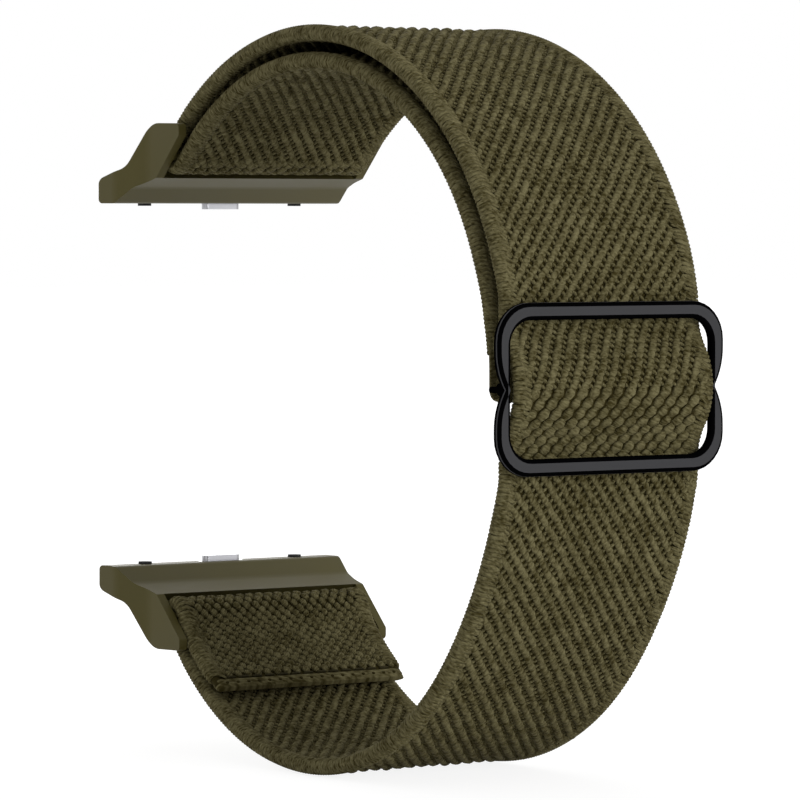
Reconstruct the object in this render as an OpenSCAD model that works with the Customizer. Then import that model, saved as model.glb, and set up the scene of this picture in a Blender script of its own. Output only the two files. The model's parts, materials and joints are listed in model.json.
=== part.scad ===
// Elastic nylon watch strap: woven webbing, tri-bar slider and two slide-in connectors.
// Millimetres. X runs across the strap, +Z up, the slider faces -Y and the watch sits at +Y.
// The side view is drawn in a path plane whose x is world Y and whose y is world Z,
// measured from the slider's front face at the slider's mid-height.

/* [Webbing] */
// Width of the webbing over its edge beads
webbing_w = 24; // [20:0.5:24]
// Thickness of the webbing between its beads
webbing_t = 1.5; // [1.4:0.05:1.6]
// Diameter of the whipped bead along each edge
bead_d = 1.9; // [1.7:0.05:1.95]
// Thickness of the thinned tail that wraps the slider's middle bar
tail_t = 0.7; // [0.6:0.05:0.75]
// Gap left between layers that are sewn or lie together
layer_gap = 0.05; // [0.03:0.01:0.1]

/* [Strap path] */
// Radius of the upper bow at its outer face
upper_r = 34; // [32:0.5:36]
// Angle that the upper bow runs on past its top towards the watch
upper_past_top = 43; // [41:1:45]
// Straight lead from the upper bow to the top bar
top_lead = 2.9; // [2:0.1:4]
// How much larger the radius of the lower bow's front is than the upper bow's
front_more = 12; // [9:1:15]
// Angle of the lower bow's front, from level with the bow centres
front_sweep = 40; // [38:1:42]
// How much smaller the radius of the lower bow's bottom is than the upper bow's
bottom_less = 3; // [2:0.5:4]
// Angle that the bottom runs on past its lowest point towards the watch
bottom_past = 48; // [46:1:50]
// Height of the bows' centres above the slider's middle
bow_rise = 1.4; // [0:0.1:3]
// Angle at which the top fold-back closes on the run below it
fold_close = 22; // [20:1:26]
// Length of the bottom fold-back along its arc
fold_len = 7.3; // [6:0.1:10]

/* [Slider] */
// Width of the slider's sides beside its window
slider_side_w = 1.58; // [1.5:0.02:2.3]
// Overall height of the slider
slider_h = 16.4; // [15.6:0.2:18]
// Plate thickness of the slider
slider_t = 1.3; // [1:0.05:1.35]
// Height of the slider's top and bottom bars
slider_bar_h = 1.4; // [1:0.1:1.6]
// Radius of the slider's outer corners
slider_corner_r = 3.7; // [2.5:0.1:4.5]
// Radius of the slider's window corners
window_corner_r = 2.4; // [1:0.1:3]
// Radius of each side's bulge into the waist
waist_bulge_r = 7; // [5:0.5:9]
// Depth of the waist notch at each side
waist_notch = 1.05; // [0.5:0.05:1.1]
// Gap between the webbing's edge and the slider's side
side_gap = 0.12; // [0.08:0.01:0.2]
// Diameter of the slider's dropped middle bar
middle_bar_d = 1.2; // [1:0.05:1.3]
// Height of the lugs that carry the middle bar
bar_lug_h = 2.2; // [1.8:0.1:3]
// Place of the webbing's centre over the middle bar, back from the slider's front face
crest_y = -0.15; // [-0.3:0.05:0]
// Gap between the webbing and the back of the slider's bars
bar_gap = 0.06; // [0.03:0.01:0.1]
// How far the webbing's pass through the slider reaches past the slider's ends
pass_overhang = 1; // [0.8:0.1:1.5]
// Radius at which the webbing bends in behind the slider's outer bars
pass_bend_r = 4; // [3:0.5:5]

/* [Connectors] */
// Diameter of the bar inside each connector that the webbing turns round
connector_bar_d = 1.1; // [1:0.05:1.2]
// Running clearance of that bar in the webbing, on the radius
connector_bar_gap = 0.05; // [0.03:0.01:0.08]
// Thickness of each cheek beside the webbing
cheek_t = 0.93; // [0.8:0.01:1.2]
// Gap between the webbing's edge and a cheek
cheek_gap = 0.12; // [0.08:0.01:0.2]
// Width of the tongue that slides into the watch case
tongue_w = 28.5; // [28:0.1:30]
// Thickness of the tongue
tongue_t = 2.6; // [2.5:0.05:2.8]
// Distance of the tongue's middle plane from the bar
tongue_y = 9; // [8.8:0.1:9.4]
// Depth of the tongue's deep face below the bar
tongue_depth = 4.95; // [4.8:0.05:5.2]
// Height of the head's crown above the bar
crown_h = 3.3; // [3.2:0.05:3.8]
// Running room between the turned webbing and the metal behind it
turn_gap = 0.35; // [0.3:0.05:0.5]

/* [Latches] */
// How far the catch and the nubs lie in from the tongue's middle plane, towards the bar
latch_in = 0.3; // [0.25:0.05:0.35]
// Length of the oblong catch
catch_l = 4.5; // [3.5:0.1:5.5]
// Width of the oblong catch
catch_w = 0.95; // [0.85:0.05:1]
// How far the catch stands out of the tongue
catch_out = 0.6; // [0.5:0.05:0.65]
// Running clearance of the catch, on each side
catch_gap = 0.07; // [0.05:0.01:0.08]
// Width of the catch's hidden flange beyond its stem
flange_lip = 0.22; // [0.18:0.01:0.24]
// Thickness of the flange
flange_t = 0.3; // [0.25:0.01:0.35]
// Thickness of the retainer plate at the pocket's mouth
retainer_t = 0.4; // [0.35:0.01:0.45]
// Depth of the latch pocket from the tongue's deep face
pocket_depth = 2.35; // [2.3:0.01:2.4]
// Wire diameter of the latch spring
spring_wire_d = 0.16; // [0.12:0.01:0.17]
// Outer diameter of the latch spring
spring_d = 1.15; // [1:0.05:1.2]
// Curls in the latch spring
spring_curls = 2; // [1.5:0.25:2]
// Diameter of the rubber nubs
nub_d = 1.4; // [1:0.1:1.6]
// How far the nubs stand out of the tongue
nub_out = 0.25; // [0.1:0.05:0.35]
// Depth of the nubs' seats in the tongue
nub_seat = 0.8; // [0.6:0.1:1.2]
// Distance of each nub from the middle of the tongue
nub_x = 9.5; // [6:0.5:11]

/* [Sewing] */
// Thickness of the sewing thread
thread_d = 0.34; // [0.28:0.01:0.4]
// Distance from one stitch to the next
stitch_pitch = 1.6; // [1.2:0.1:2.2]
// Length of one stitch on the surface
stitch_l = 1.15; // [0.8:0.05:1.1]
// Distance of a seam from the end of the sewn layer
seam_inset = 1.4; // [1.2:0.1:1.8]

/* [Hidden] */
$fn = 96;
olive = [0.33, 0.31, 0.21];
thread_olive = [0.24, 0.22, 0.13];
connector_olive = [0.31, 0.29, 0.17];
slider_grey = [0.2, 0.2, 0.21];
steel = [0.7, 0.7, 0.72];
rubber_black = [0.06, 0.06, 0.06];

// Layers at the connector bars lie a bar apart
layer_step = connector_bar_d + 2 * connector_bar_gap + webbing_t;
// Layers that are sewn together lie bead on bead
sewn_step = bead_d + layer_gap;

// Centrelines of the layers, inside the outer faces of their beads
front_r = upper_r + front_more;
bottom_r = upper_r - bottom_less;
outer_r = upper_r - bead_d / 2;
inner_r = outer_r - layer_step;
front_line_r = front_r - bead_d / 2;
bottom_line_r = bottom_r - bead_d / 2;

// Angles on the bows from their centres' level: the pass through the slider,
// then the stretches that give when the slider is moved, then the fixed runs
pass_reach = asin((slider_h / 2 + pass_overhang - bow_rise) / outer_r);
pass_reach_low = asin((slider_h / 2 + pass_overhang + bow_rise) / front_line_r);
adjust_reach = 84;
adjust_reach_low = 33;

// The webbing runs straight behind the slider's bars, and the bows bend on from there
back_y = slider_t + bar_gap + webbing_t / 2;
function bow_centre_y(r, reach) = back_y + pass_bend_r * (1 - cos(reach)) + r * cos(reach);

// Upper bow
upper_c = [bow_centre_y(outer_r, pass_reach), bow_rise];
top_end = 90 - upper_past_top;
top_heading = top_end - 90;

// Lower bow: its front arc, then its bottom arc, both tangent
front_c = [bow_centre_y(front_line_r, pass_reach_low), bow_rise];
bottom_start = 180 + front_sweep;
bottom_c = front_c + (front_r - bottom_r) * [cos(bottom_start), sin(bottom_start)];
bottom_end = 270 + bottom_past;
bottom_heading = bottom_end - 270;

// Connector bars: the top one ends the top lead, and the bottom one lies straight below it
top_bar = on_arc(upper_c, outer_r - layer_step / 2, top_end) + top_lead * along(top_heading);
bottom_reach = bottom_line_r - layer_step / 2;
bottom_lead = (top_bar.x - bottom_c.x - bottom_reach * cos(bottom_end)) / cos(bottom_heading);
bottom_bar = on_arc(bottom_c, bottom_reach, bottom_end) + bottom_lead * along(bottom_heading);

// The bead is pressed flat where the webbing bears on a bar
pressed_lead = 0.8;

// Stretches are joined by laps: every second one is a hair slimmer
// and reaches a little way into the stretches beside it
lap = 0.12;
lap_slim = 0.03;

// Fold-back: it leaves the bar turned by fold_close more than half a turn,
// runs straight and bends back parallel, so that it ends at sewn_step from the run below
fold_along = bottom_lead - layer_step / 2 * sin(fold_close);
fold_drop = layer_step / 2 * cos(fold_close) - (sewn_step - layer_step / 2);
fold_bend_r = (fold_along * sin(fold_close) - fold_drop * cos(fold_close)) / (1 - cos(fold_close));
fold_lead = (fold_drop * sin(fold_close) - fold_along * (1 - cos(fold_close))) / (1 - cos(fold_close));
fold_r = bottom_line_r - sewn_step;
fold_end = bottom_end - fold_len / fold_r * 180 / PI;
fold_seam = fold_end + seam_inset / fold_r * 180 / PI;

// Slider and the pass of the webbing through it: it leaves each bar a quarter of the bar's
// height before the window's edge, and swings out in an S of three arcs
swing_z = slider_h / 2 - 0.75 * slider_bar_h;
pass_turn = 2 * atan((back_y - crest_y) / swing_z);
pass_r = swing_z / (2 * sin(pass_turn));
pass_top_z = bow_rise + (outer_r - pass_bend_r) * sin(pass_reach);
pass_low_z = bow_rise - (front_line_r - pass_bend_r) * sin(pass_reach_low);
window_w = webbing_w + 2 * side_gap;
slider_w = window_w + 2 * slider_side_w;

// Tail: it wraps the middle bar and lies against the inner layer's outward face
tail_w = webbing_w - 2 * bead_d;
tail_wrap_r = middle_bar_d / 2 + layer_gap + tail_t / 2;
inner_face_y = upper_c.x - inner_r - webbing_t / 2;
middle_bar_y = inner_face_y - layer_gap - middle_bar_d / 2;
tail_arc_r = inner_r + webbing_t / 2 + layer_gap + tail_t / 2;
tail_join = 3.6;
tail_end = 7.2;
tail_seam = tail_end - seam_inset / tail_arc_r * 180 / PI;
tail_foot = [middle_bar_y - tail_wrap_r, 0];
tail_shift = on_arc(upper_c, tail_arc_r, 180 - tail_join) - tail_foot;
tail_turn = ease_turn(tail_shift, tail_join);
tail_ease_r = tail_shift.y / (2 * sin(tail_turn) - sin(tail_join));

// Connector: outline measured from its bar, x towards the watch, y away from the watch centre
slot_r = layer_step / 2 + bead_d / 2 + turn_gap;
slot_reach = 3 * slot_r;
slot_w = webbing_w + 2 * cheek_gap;
head_w = slot_w + 2 * cheek_t;
tongue_face = tongue_y + tongue_t / 2;
tongue_back = tongue_y - tongue_t / 2;
latch_y = tongue_y - latch_in;
pocket_l = catch_l + 2 * flange_lip + 6 * catch_gap;
pocket_w = catch_w + 2 * flange_lip + 2 * catch_gap;
spring_l = pocket_depth - retainer_t - flange_t;
spring_pitch = (spring_l - 3 * spring_wire_d) / spring_curls;

// Place of the origin: the middle of the width and depth, at the lowest point of the strap
crest_front = crest_y - webbing_t / 2;
lowest_z = bottom_c.y - bottom_line_r - bead_d / 2;
depth_middle = (crest_front + top_bar.x + tongue_face) / 2;

// Points and directions in the path plane
function along(a) = [cos(a), sin(a)];
function on_arc(c, r, a) = c + r * along(a);

// First turn of an easing S that moves by d and ends tilted: equal radii, opposite turns
function ease_turn(d, tilt) =
  let (sum = d.y * (1 + cos(tilt)) + d.x * sin(tilt))
  180 - asin(sum / (2 * norm(d))) - atan2(d.y, d.x);

// Outline with each corner rounded by its third value, over eight steps
function rounded(pts) = [
  for (i = [0:len(pts) - 1])
    let (
      p = [pts[i].x, pts[i].y],
      a = pts[(i + len(pts) - 1) % len(pts)],
      b = pts[(i + 1) % len(pts)],
      ua = ([a.x, a.y] - p) / norm([a.x, a.y] - p),
      ub = ([b.x, b.y] - p) / norm([b.x, b.y] - p),
      half = acos(ua * ub) / 2,
      mid = (ua + ub) / norm(ua + ub),
      r = pts[i].z,
      c = p + mid * r / sin(half),
      side = sign(cross(ub, ua)),
      first = atan2(-mid.y, -mid.x) - side * (90 - half)
    )
    for (k = [0:8])
      c + r * along(first + side * (90 - half) * k / 4)
];

// Turns the path plane upright: its x to world Y, its y to world Z, its depth to world X
module upright() {
  translate([0, -depth_middle, -lowest_z])
    rotate([90, 0, 90])
      children();
}

// Webbing section: thickness along x, width along y, round beads at both edges
module webbing_section(bead = bead_d, slim = 0) {
  square([webbing_t - slim, webbing_w - bead], center = true);
  for (side = [-1, 1])
    translate([0, side * (webbing_w - bead) / 2])
      circle(d = bead - slim);
}

// The same where the beads are pressed flat
module pressed_section(slim = 0) {
  webbing_section(webbing_t, slim);
}

module tail_section(slim = 0) {
  square([tail_t - slim, tail_w - slim], center = true);
}

// Carries a section round an arc of the path plane, from angle a to angle b,
// with a lap beyond either end where it is asked for
module bend(c, r, a, b, lap_a = 0, lap_b = 0) {
  first = a - lap_a / r * 180 / PI;
  last = b + lap_b / r * 180 / PI;
  translate([c.x, c.y, 0])
    rotate([0, 0, first])
      rotate_extrude(angle = last - first)
        translate([r, 0])
          children();
}

// Carries a section straight on from a point of the path plane, with laps likewise
module straight(p, heading, length, lap_a = 0, lap_b = 0) {
  first = p - lap_a * along(heading);
  translate([first.x, first.y, 0])
    rotate([0, 0, heading])
      rotate([90, 0, 90])
        linear_extrude(length + lap_a + lap_b)
          children();
}

module webbing_outer_run() {
  color(olive)
    upright() {
      bend(upper_c, outer_r, top_end, 180 - adjust_reach)
        webbing_section();
      straight(on_arc(upper_c, outer_r, top_end), top_heading, top_lead - pressed_lead, lap)
        webbing_section(slim = lap_slim);
    }
}

module webbing_inner_run() {
  color(olive)
    upright() {
      bend(upper_c, inner_r, top_end, 180 - adjust_reach)
        webbing_section();
      straight(on_arc(upper_c, inner_r, top_end), top_heading, top_lead - pressed_lead, lap)
        webbing_section(slim = lap_slim);
    }
}

module webbing_top_turn() {
  color(olive)
    upright() {
      bend(top_bar, layer_step / 2, top_end - 180, top_end)
        pressed_section();
      for (side = [0, 180])
        straight(on_arc(top_bar, layer_step / 2, top_end + side) - pressed_lead * along(top_heading),
                 top_heading, pressed_lead, 0, lap)
          pressed_section(lap_slim);
    }
}

module webbing_outer_adjust() {
  color(olive)
    upright()
      bend(upper_c, outer_r, 180 - adjust_reach, 180 - pass_reach)
        webbing_section();
}

module webbing_inner_adjust() {
  color(olive)
    upright()
      bend(upper_c, inner_r, 180 - adjust_reach, 180 - pass_reach)
        webbing_section();
}

// Behind the top bar, out over the middle bar and back behind the bottom bar
module webbing_slider_pass() {
  color(olive)
    upright() {
      bend([back_y + pass_bend_r, pass_top_z], pass_bend_r, 180 - pass_reach, 180, 0, lap)
        pressed_section(lap_slim);
      straight([back_y, swing_z], 90, pass_top_z - swing_z)
        pressed_section();
      bend([back_y - pass_r, swing_z], pass_r, -pass_turn, 0, lap, lap)
        pressed_section(lap_slim);
      bend([crest_y + pass_r, 0], pass_r, 180 - pass_turn, 180 + pass_turn)
        pressed_section();
      bend([back_y - pass_r, -swing_z], pass_r, 0, pass_turn, lap, lap)
        pressed_section(lap_slim);
      straight([back_y, pass_low_z], 90, -swing_z - pass_low_z)
        pressed_section();
      bend([back_y + pass_bend_r, pass_low_z], pass_bend_r, 180, 180 + pass_reach_low, lap, 0)
        pressed_section(lap_slim);
    }
}

// The inner layer's end, thinned below the bows' level, round the middle bar and up again
module webbing_tail_loop() {
  color(olive)
    upright() {
      bend(upper_c, inner_r, 180 - pass_reach, 180)
        pressed_section();
      straight([middle_bar_y + tail_wrap_r, 0], 90, bow_rise, lap, 2 * lap)
        tail_section(lap_slim);
      bend([middle_bar_y, 0], tail_wrap_r, 180, 360)
        tail_section();
      bend(tail_foot + [tail_ease_r, 0], tail_ease_r, 180 - tail_turn, 180, lap, lap)
        tail_section(lap_slim);
      bend(on_arc(upper_c, tail_arc_r + tail_ease_r, 180 - tail_join), tail_ease_r,
           -tail_turn, -tail_join)
        tail_section();
      bend(upper_c, tail_arc_r, 180 - tail_end, 180 - tail_join, 0, lap)
        tail_section(lap_slim);
    }
}

module webbing_lower_adjust() {
  color(olive)
    upright()
      bend(front_c, front_line_r, 180 + pass_reach_low, 180 + adjust_reach_low)
        webbing_section();
}

module webbing_lower_run() {
  color(olive)
    upright() {
      bend(front_c, front_line_r, 180 + adjust_reach_low, bottom_start, 0, lap)
        webbing_section(slim = lap_slim);
      bend(bottom_c, bottom_line_r, bottom_start, bottom_end)
        webbing_section();
      straight(on_arc(bottom_c, bottom_line_r, bottom_end), bottom_heading,
               bottom_lead - pressed_lead, lap)
        webbing_section(slim = lap_slim);
    }
}

module webbing_lower_fold() {
  turn_end = bottom_end - 180 + fold_close;
  lead_end = on_arc(bottom_bar, layer_step / 2, turn_end) + fold_lead * along(turn_end + 90);
  color(olive)
    upright() {
      straight(on_arc(bottom_bar, layer_step / 2, bottom_end) - pressed_lead * along(bottom_heading),
               bottom_heading, pressed_lead, 0, lap)
        pressed_section(lap_slim);
      bend(bottom_bar, layer_step / 2, bottom_end, turn_end + 360)
        pressed_section();
      straight(lead_end, turn_end - 90, fold_lead, lap, lap)
        pressed_section(lap_slim);
      bend(on_arc(lead_end, fold_bend_r, turn_end), fold_bend_r,
           bottom_end, turn_end + 180)
        pressed_section();
      bend(bottom_c, fold_r, fold_end, bottom_end, 0, lap)
        webbing_section(slim = lap_slim);
    }
}

// One row of stitches across the webbing, through layers that lie between two radii
module stitch_row(c, a, inner, outer, row_w) {
  count = floor(row_w / stitch_pitch);
  translate([c.x, c.y, 0])
    rotate([0, 0, a])
      for (i = [0:count - 1])
        translate([0, 0, (i - (count - 1) / 2) * stitch_pitch])
          stitch(inner, outer);
}

module stitch(inner, outer) {
  for (r = [inner, outer])
    translate([r, 0, -stitch_l / 2])
      cylinder(d = thread_d, h = stitch_l);
  for (side = [-1, 1])
    translate([inner - thread_d / 2, 0, side * stitch_l / 2])
      rotate([0, 90, 0])
        cylinder(d = thread_d, h = outer - inner + thread_d);
}

module bottom_seam_thread() {
  color(thread_olive)
    upright()
      stitch_row(bottom_c, fold_seam, fold_r - webbing_t / 2, bottom_line_r + webbing_t / 2,
                 webbing_w - 2 * bead_d);
}

module tail_seam_thread() {
  color(thread_olive)
    upright()
      stitch_row(upper_c, 180 - tail_seam, inner_r - webbing_t / 2, tail_arc_r + tail_t / 2,
                 tail_w);
}

// Half of the slider's outline: a loop with round outer corners that curves in to the waist
module slider_loop() {
  bulge_z = sqrt(2 * waist_bulge_r * waist_notch - pow(waist_notch, 2));
  corner_z = slider_h / 2 - slider_corner_r;
  for (side = [-1, 1])
    scale([1, side])
      for (end = [-1, 1])
        scale([end, 1]) {
          square([slider_w / 2 - slider_corner_r, slider_h / 2]);
          translate([slider_w / 2 - slider_corner_r, corner_z])
            circle(r = slider_corner_r);
          translate([0, bulge_z])
            square([slider_w / 2, corner_z - bulge_z]);
          intersection() {
            translate([slider_w / 2 - waist_bulge_r, bulge_z])
              circle(r = waist_bulge_r);
            square([slider_w, bulge_z]);
          }
        }
}

// The slider's window: one opening with round corners that both layers pass
module slider_window() {
  half_h = slider_h / 2 - slider_bar_h;
  square([window_w - 2 * window_corner_r, 2 * half_h], center = true);
  square([window_w, 2 * (half_h - window_corner_r)], center = true);
  for (end = [-1, 1], side = [-1, 1])
    translate([end * (window_w / 2 - window_corner_r), side * (half_h - window_corner_r)])
      circle(r = window_corner_r);
}

module slider_frame() {
  lug_t = slider_w / 2 - waist_notch - window_w / 2;
  color(slider_grey)
    translate([0, -depth_middle, -lowest_z]) {
      translate([0, slider_t, 0])
        rotate([90, 0, 0])
          linear_extrude(slider_t)
            difference() {
              slider_loop();
              slider_window();
            }
      for (side = [-1, 1])
        translate([side * (window_w + lug_t) / 2, 0, 0])
          rotate([90, 0, 90])
            linear_extrude(lug_t, center = true) {
              translate([slider_t / 2, -bar_lug_h / 2])
                square([middle_bar_y - slider_t / 2, bar_lug_h]);
              translate([middle_bar_y, 0])
                circle(d = bar_lug_h);
            }
      translate([-window_w / 2 - lug_t / 2, middle_bar_y, 0])
        rotate([0, 90, 0])
          cylinder(d = middle_bar_d, h = window_w + lug_t);
    }
}

// Oblong with round ends
module oblong(length, width) {
  square([length - width, width], center = true);
  for (side = [-1, 1])
    translate([side * (length - width) / 2, 0])
      circle(d = width);
}

// Side outline of a connector, from its bar
module connector_outline() {
  polygon(rounded([
    [-3.1, crown_h - 0.1, 0.5],
    [2.2, crown_h, 3],
    [tongue_back - 2.1, -1.25, 2.5],
    [tongue_face, -2.5, 1.2],
    [tongue_face, -tongue_depth, 0.8],
    [tongue_back - 0.5, -tongue_depth, 1.2],
    [tongue_back - 3.1, -3.3, 3],
    [1.1, -2.35, 0.35],
    [-3.1, 2, 0.3]
  ]));
}

// Plan outline of a connector: the head flares to the tongue's width
module connector_plan() {
  polygon(rounded([
    [-3.6, head_w / 2, 0.4],
    [2.6, head_w / 2, 5],
    [tongue_back - 0.6, tongue_w / 2, 5],
    [tongue_face + 0.1, tongue_w / 2, 0.35],
    [tongue_face + 0.1, -tongue_w / 2, 0.35],
    [tongue_back - 0.6, -tongue_w / 2, 5],
    [2.6, -head_w / 2, 5],
    [-3.6, -head_w / 2, 0.4]
  ]));
}

// Room for the turned webbing between the cheeks
module webbing_slot(lean) {
  circle(r = slot_r);
  rotate([0, 0, lean])
    translate([-slot_reach, -slot_reach])
      square([slot_reach, 2 * slot_reach]);
}

// One connector about its bar: x across, y towards the watch, z away from the watch centre
module connector_body(lean) {
  color(connector_olive) {
    difference() {
      intersection() {
        rotate([90, 0, 90])
          linear_extrude(tongue_w + 1, center = true)
            connector_outline();
        translate([0, 0, -tongue_depth - 1])
          rotate([0, 0, 90])
            mirror([0, 1, 0])
              linear_extrude(tongue_depth + crown_h + 2)
                connector_plan();
      }
      rotate([90, 0, 90])
        linear_extrude(slot_w, center = true)
          webbing_slot(lean);
      translate([0, latch_y, -tongue_depth - 1])
        linear_extrude(pocket_depth + 1)
          oblong(pocket_l, pocket_w);
      for (side = [-1, 1])
        translate([side * nub_x, latch_y, -tongue_depth - 1])
          cylinder(d = nub_d, h = nub_seat + 1);
    }
    translate([-slot_w / 2 - cheek_t / 2, 0, 0])
      rotate([0, 90, 0])
        cylinder(d = connector_bar_d, h = slot_w + cheek_t);
  }
}

module latch_catch() {
  flange_z = -tongue_depth + retainer_t;
  color(steel) {
    translate([0, latch_y, -tongue_depth - catch_out])
      linear_extrude(catch_out + retainer_t + flange_t)
        oblong(catch_l, catch_w);
    translate([0, latch_y, flange_z])
      linear_extrude(flange_t)
        oblong(catch_l + 2 * flange_lip, catch_w + 2 * flange_lip);
  }
}

module latch_retainer() {
  color(steel)
    translate([0, latch_y, -tongue_depth])
      linear_extrude(retainer_t)
        difference() {
          oblong(pocket_l, pocket_w);
          oblong(catch_l + 2 * catch_gap, catch_w + 2 * catch_gap);
        }
}

// Coil of the latch spring: one tube whose ends run straight for one wire diameter
coil_sides = 6;
coil_rings = 8;
coil_r = (spring_d - spring_wire_d) / 2;
coil_steps = round(spring_curls * coil_rings);
function coil_point(i) =
  let (s = min(max(i - 1, 0), coil_steps))
  [
    coil_r * cos(360 * s / coil_rings),
    coil_r * sin(360 * s / coil_rings),
    spring_wire_d * 1.5 + spring_pitch * s / coil_rings
  ];
function coil_line() = concat(
  [coil_point(0) - [0, 0, spring_wire_d]],
  [for (s = [1:coil_steps + 1]) coil_point(s)],
  [coil_point(coil_steps + 1) + [0, 0, spring_wire_d]]
);
function coil_least_gap(pts) = min([
  for (i = [0:len(pts) - 1], j = [0:len(pts) - 1])
    if (j - i >= coil_rings - 1) norm(pts[i] - pts[j])
]) - spring_wire_d;

module latch_spring() {
  pts = coil_line();
  last = len(pts) - 1;
  echo(latch_spring_least_gap = coil_least_gap(pts));
  rings = [
    for (i = [0:last])
      let (
        t = pts[min(i + 1, last)] - pts[max(i - 1, 0)],
        flat_turn = atan2(pts[i].y, pts[i].x),
        out = [cos(flat_turn), sin(flat_turn), 0],
        axis = t / norm(t),
        side = cross(axis, out) / norm(cross(axis, out)),
        outward = cross(side, axis)
      )
      for (k = [0:coil_sides - 1])
        pts[i] + spring_wire_d / 2 * (cos(60 * k) * outward + sin(60 * k) * side)
  ];
  walls = [
    for (i = [0:last - 1], k = [0:coil_sides - 1])
      let (
        a = i * coil_sides + k,
        b = i * coil_sides + (k + 1) % coil_sides
      )
      each [[a, b, b + coil_sides], [a, b + coil_sides, a + coil_sides]]
  ];
  ends = [
    for (k = [1:coil_sides - 2])
      each [[0, k + 1, k], last * coil_sides * [1, 1, 1] + [0, k, k + 1]]
  ];
  color(steel)
    translate([0, latch_y, -tongue_depth + retainer_t + flange_t])
      polyhedron(points = rings, faces = concat(walls, ends), convexity = 6);
}

module rubber_nubs() {
  color(rubber_black)
    for (side = [-1, 1])
      translate([side * nub_x, latch_y, -tongue_depth - nub_out])
        cylinder(d = nub_d, h = nub_seat + nub_out);
}

// Puts a piece drawn about a bar at the top bar, or mirrored at the bottom bar
module at_top_bar() {
  translate([0, top_bar.x - depth_middle, top_bar.y - lowest_z])
    children();
}

module at_bottom_bar() {
  translate([0, bottom_bar.x - depth_middle, bottom_bar.y - lowest_z])
    mirror([0, 0, 1])
      children();
}

module top_connector_body() {
  at_top_bar() connector_body(top_heading);
}

module top_latch_catch() {
  at_top_bar() latch_catch();
}

module top_latch_spring() {
  at_top_bar() latch_spring();
}

module top_latch_retainer() {
  at_top_bar() latch_retainer();
}

module top_rubber_nubs() {
  at_top_bar() rubber_nubs();
}

module bottom_connector_body() {
  at_bottom_bar() connector_body(-bottom_heading);
}

module bottom_latch_catch() {
  at_bottom_bar() latch_catch();
}

module bottom_latch_spring() {
  at_bottom_bar() latch_spring();
}

module bottom_latch_retainer() {
  at_bottom_bar() latch_retainer();
}

module bottom_rubber_nubs() {
  at_bottom_bar() rubber_nubs();
}

echo(top_bar = top_bar, bottom_bar = bottom_bar, lowest_z = lowest_z, depth_middle = depth_middle);
echo(upper_c = upper_c, bottom_c = bottom_c, fold_lead = fold_lead, fold_bend_r = fold_bend_r);
echo(front_c = front_c, pass_top_z = pass_top_z, pass_low_z = pass_low_z, swing_z = swing_z, pass_r = pass_r);
echo(tail_turn = tail_turn, tail_ease_r = tail_ease_r, middle_bar_y = middle_bar_y, slot_r = slot_r);

webbing_outer_run();
webbing_top_turn();
webbing_inner_run();
webbing_outer_adjust();
webbing_inner_adjust();
webbing_slider_pass();
webbing_tail_loop();
tail_seam_thread();
webbing_lower_adjust();
webbing_lower_run();
webbing_lower_fold();
bottom_seam_thread();
slider_frame();
top_connector_body();
top_latch_catch();
top_latch_spring();
top_latch_retainer();
top_rubber_nubs();
bottom_connector_body();
bottom_latch_catch();
bottom_latch_spring();
bottom_latch_retainer();
bottom_rubber_nubs();
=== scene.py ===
# %% [markdown]
# # Elastic nylon watch strap
#
# The strap is one length of woven elastic webbing. It is sewn to a metal connector at
# the bottom, climbs through a slider with three bars, bows over the top, turns round the
# bar of the top connector and comes back down inside to the slider.
#
# Everything is placed by the frame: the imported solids, their bodies and their joints.
# The script reads the two bars and the bow's centre from the joints, and works the
# webbing's path out from them and a few sizes of the strap.

# %% Load the frame
import json
import math

import bmesh
import bpy
import numpy as np
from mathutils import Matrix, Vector


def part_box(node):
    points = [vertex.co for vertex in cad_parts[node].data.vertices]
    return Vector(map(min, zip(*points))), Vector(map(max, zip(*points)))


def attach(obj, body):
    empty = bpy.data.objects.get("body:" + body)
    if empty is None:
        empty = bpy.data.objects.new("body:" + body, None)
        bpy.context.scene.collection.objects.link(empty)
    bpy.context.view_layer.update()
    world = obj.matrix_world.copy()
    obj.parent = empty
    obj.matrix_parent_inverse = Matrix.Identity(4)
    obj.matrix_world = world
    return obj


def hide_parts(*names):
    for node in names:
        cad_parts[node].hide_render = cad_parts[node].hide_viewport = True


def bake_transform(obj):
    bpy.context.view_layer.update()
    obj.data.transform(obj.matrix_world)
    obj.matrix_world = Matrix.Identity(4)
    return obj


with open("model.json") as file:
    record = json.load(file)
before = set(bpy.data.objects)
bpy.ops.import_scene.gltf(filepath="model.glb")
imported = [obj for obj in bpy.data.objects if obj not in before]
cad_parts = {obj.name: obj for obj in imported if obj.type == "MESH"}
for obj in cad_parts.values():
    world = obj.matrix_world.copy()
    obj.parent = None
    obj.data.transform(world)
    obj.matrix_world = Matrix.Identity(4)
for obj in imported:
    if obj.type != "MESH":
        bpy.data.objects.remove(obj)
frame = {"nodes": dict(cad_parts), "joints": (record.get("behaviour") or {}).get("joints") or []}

mm = 0.001
scene = bpy.context.scene
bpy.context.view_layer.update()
joint_at = {
    joint["name"]: joint["pos_m"]
    for joint in frame["joints"]
    if "pos_m" in joint
}

# %% [markdown]
# ## The camera
#
# A long lens looks at the strap from about half a metre away, 36 degrees to the left of
# its front and almost level with it. A camera is set best by three plain facts: the point
# it looks at, the direction it looks from and how far away it is. A Track To constraint
# would do the same, but a rotation that is worked out once needs nothing that stays live.
# The lamps below are set in the same way.

# %% Camera
camera_aim = Vector((-4.0, -4.74, 37.35)) * mm
camera_distance = 510.5 * mm
camera_lens_mm = 231.66


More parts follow.
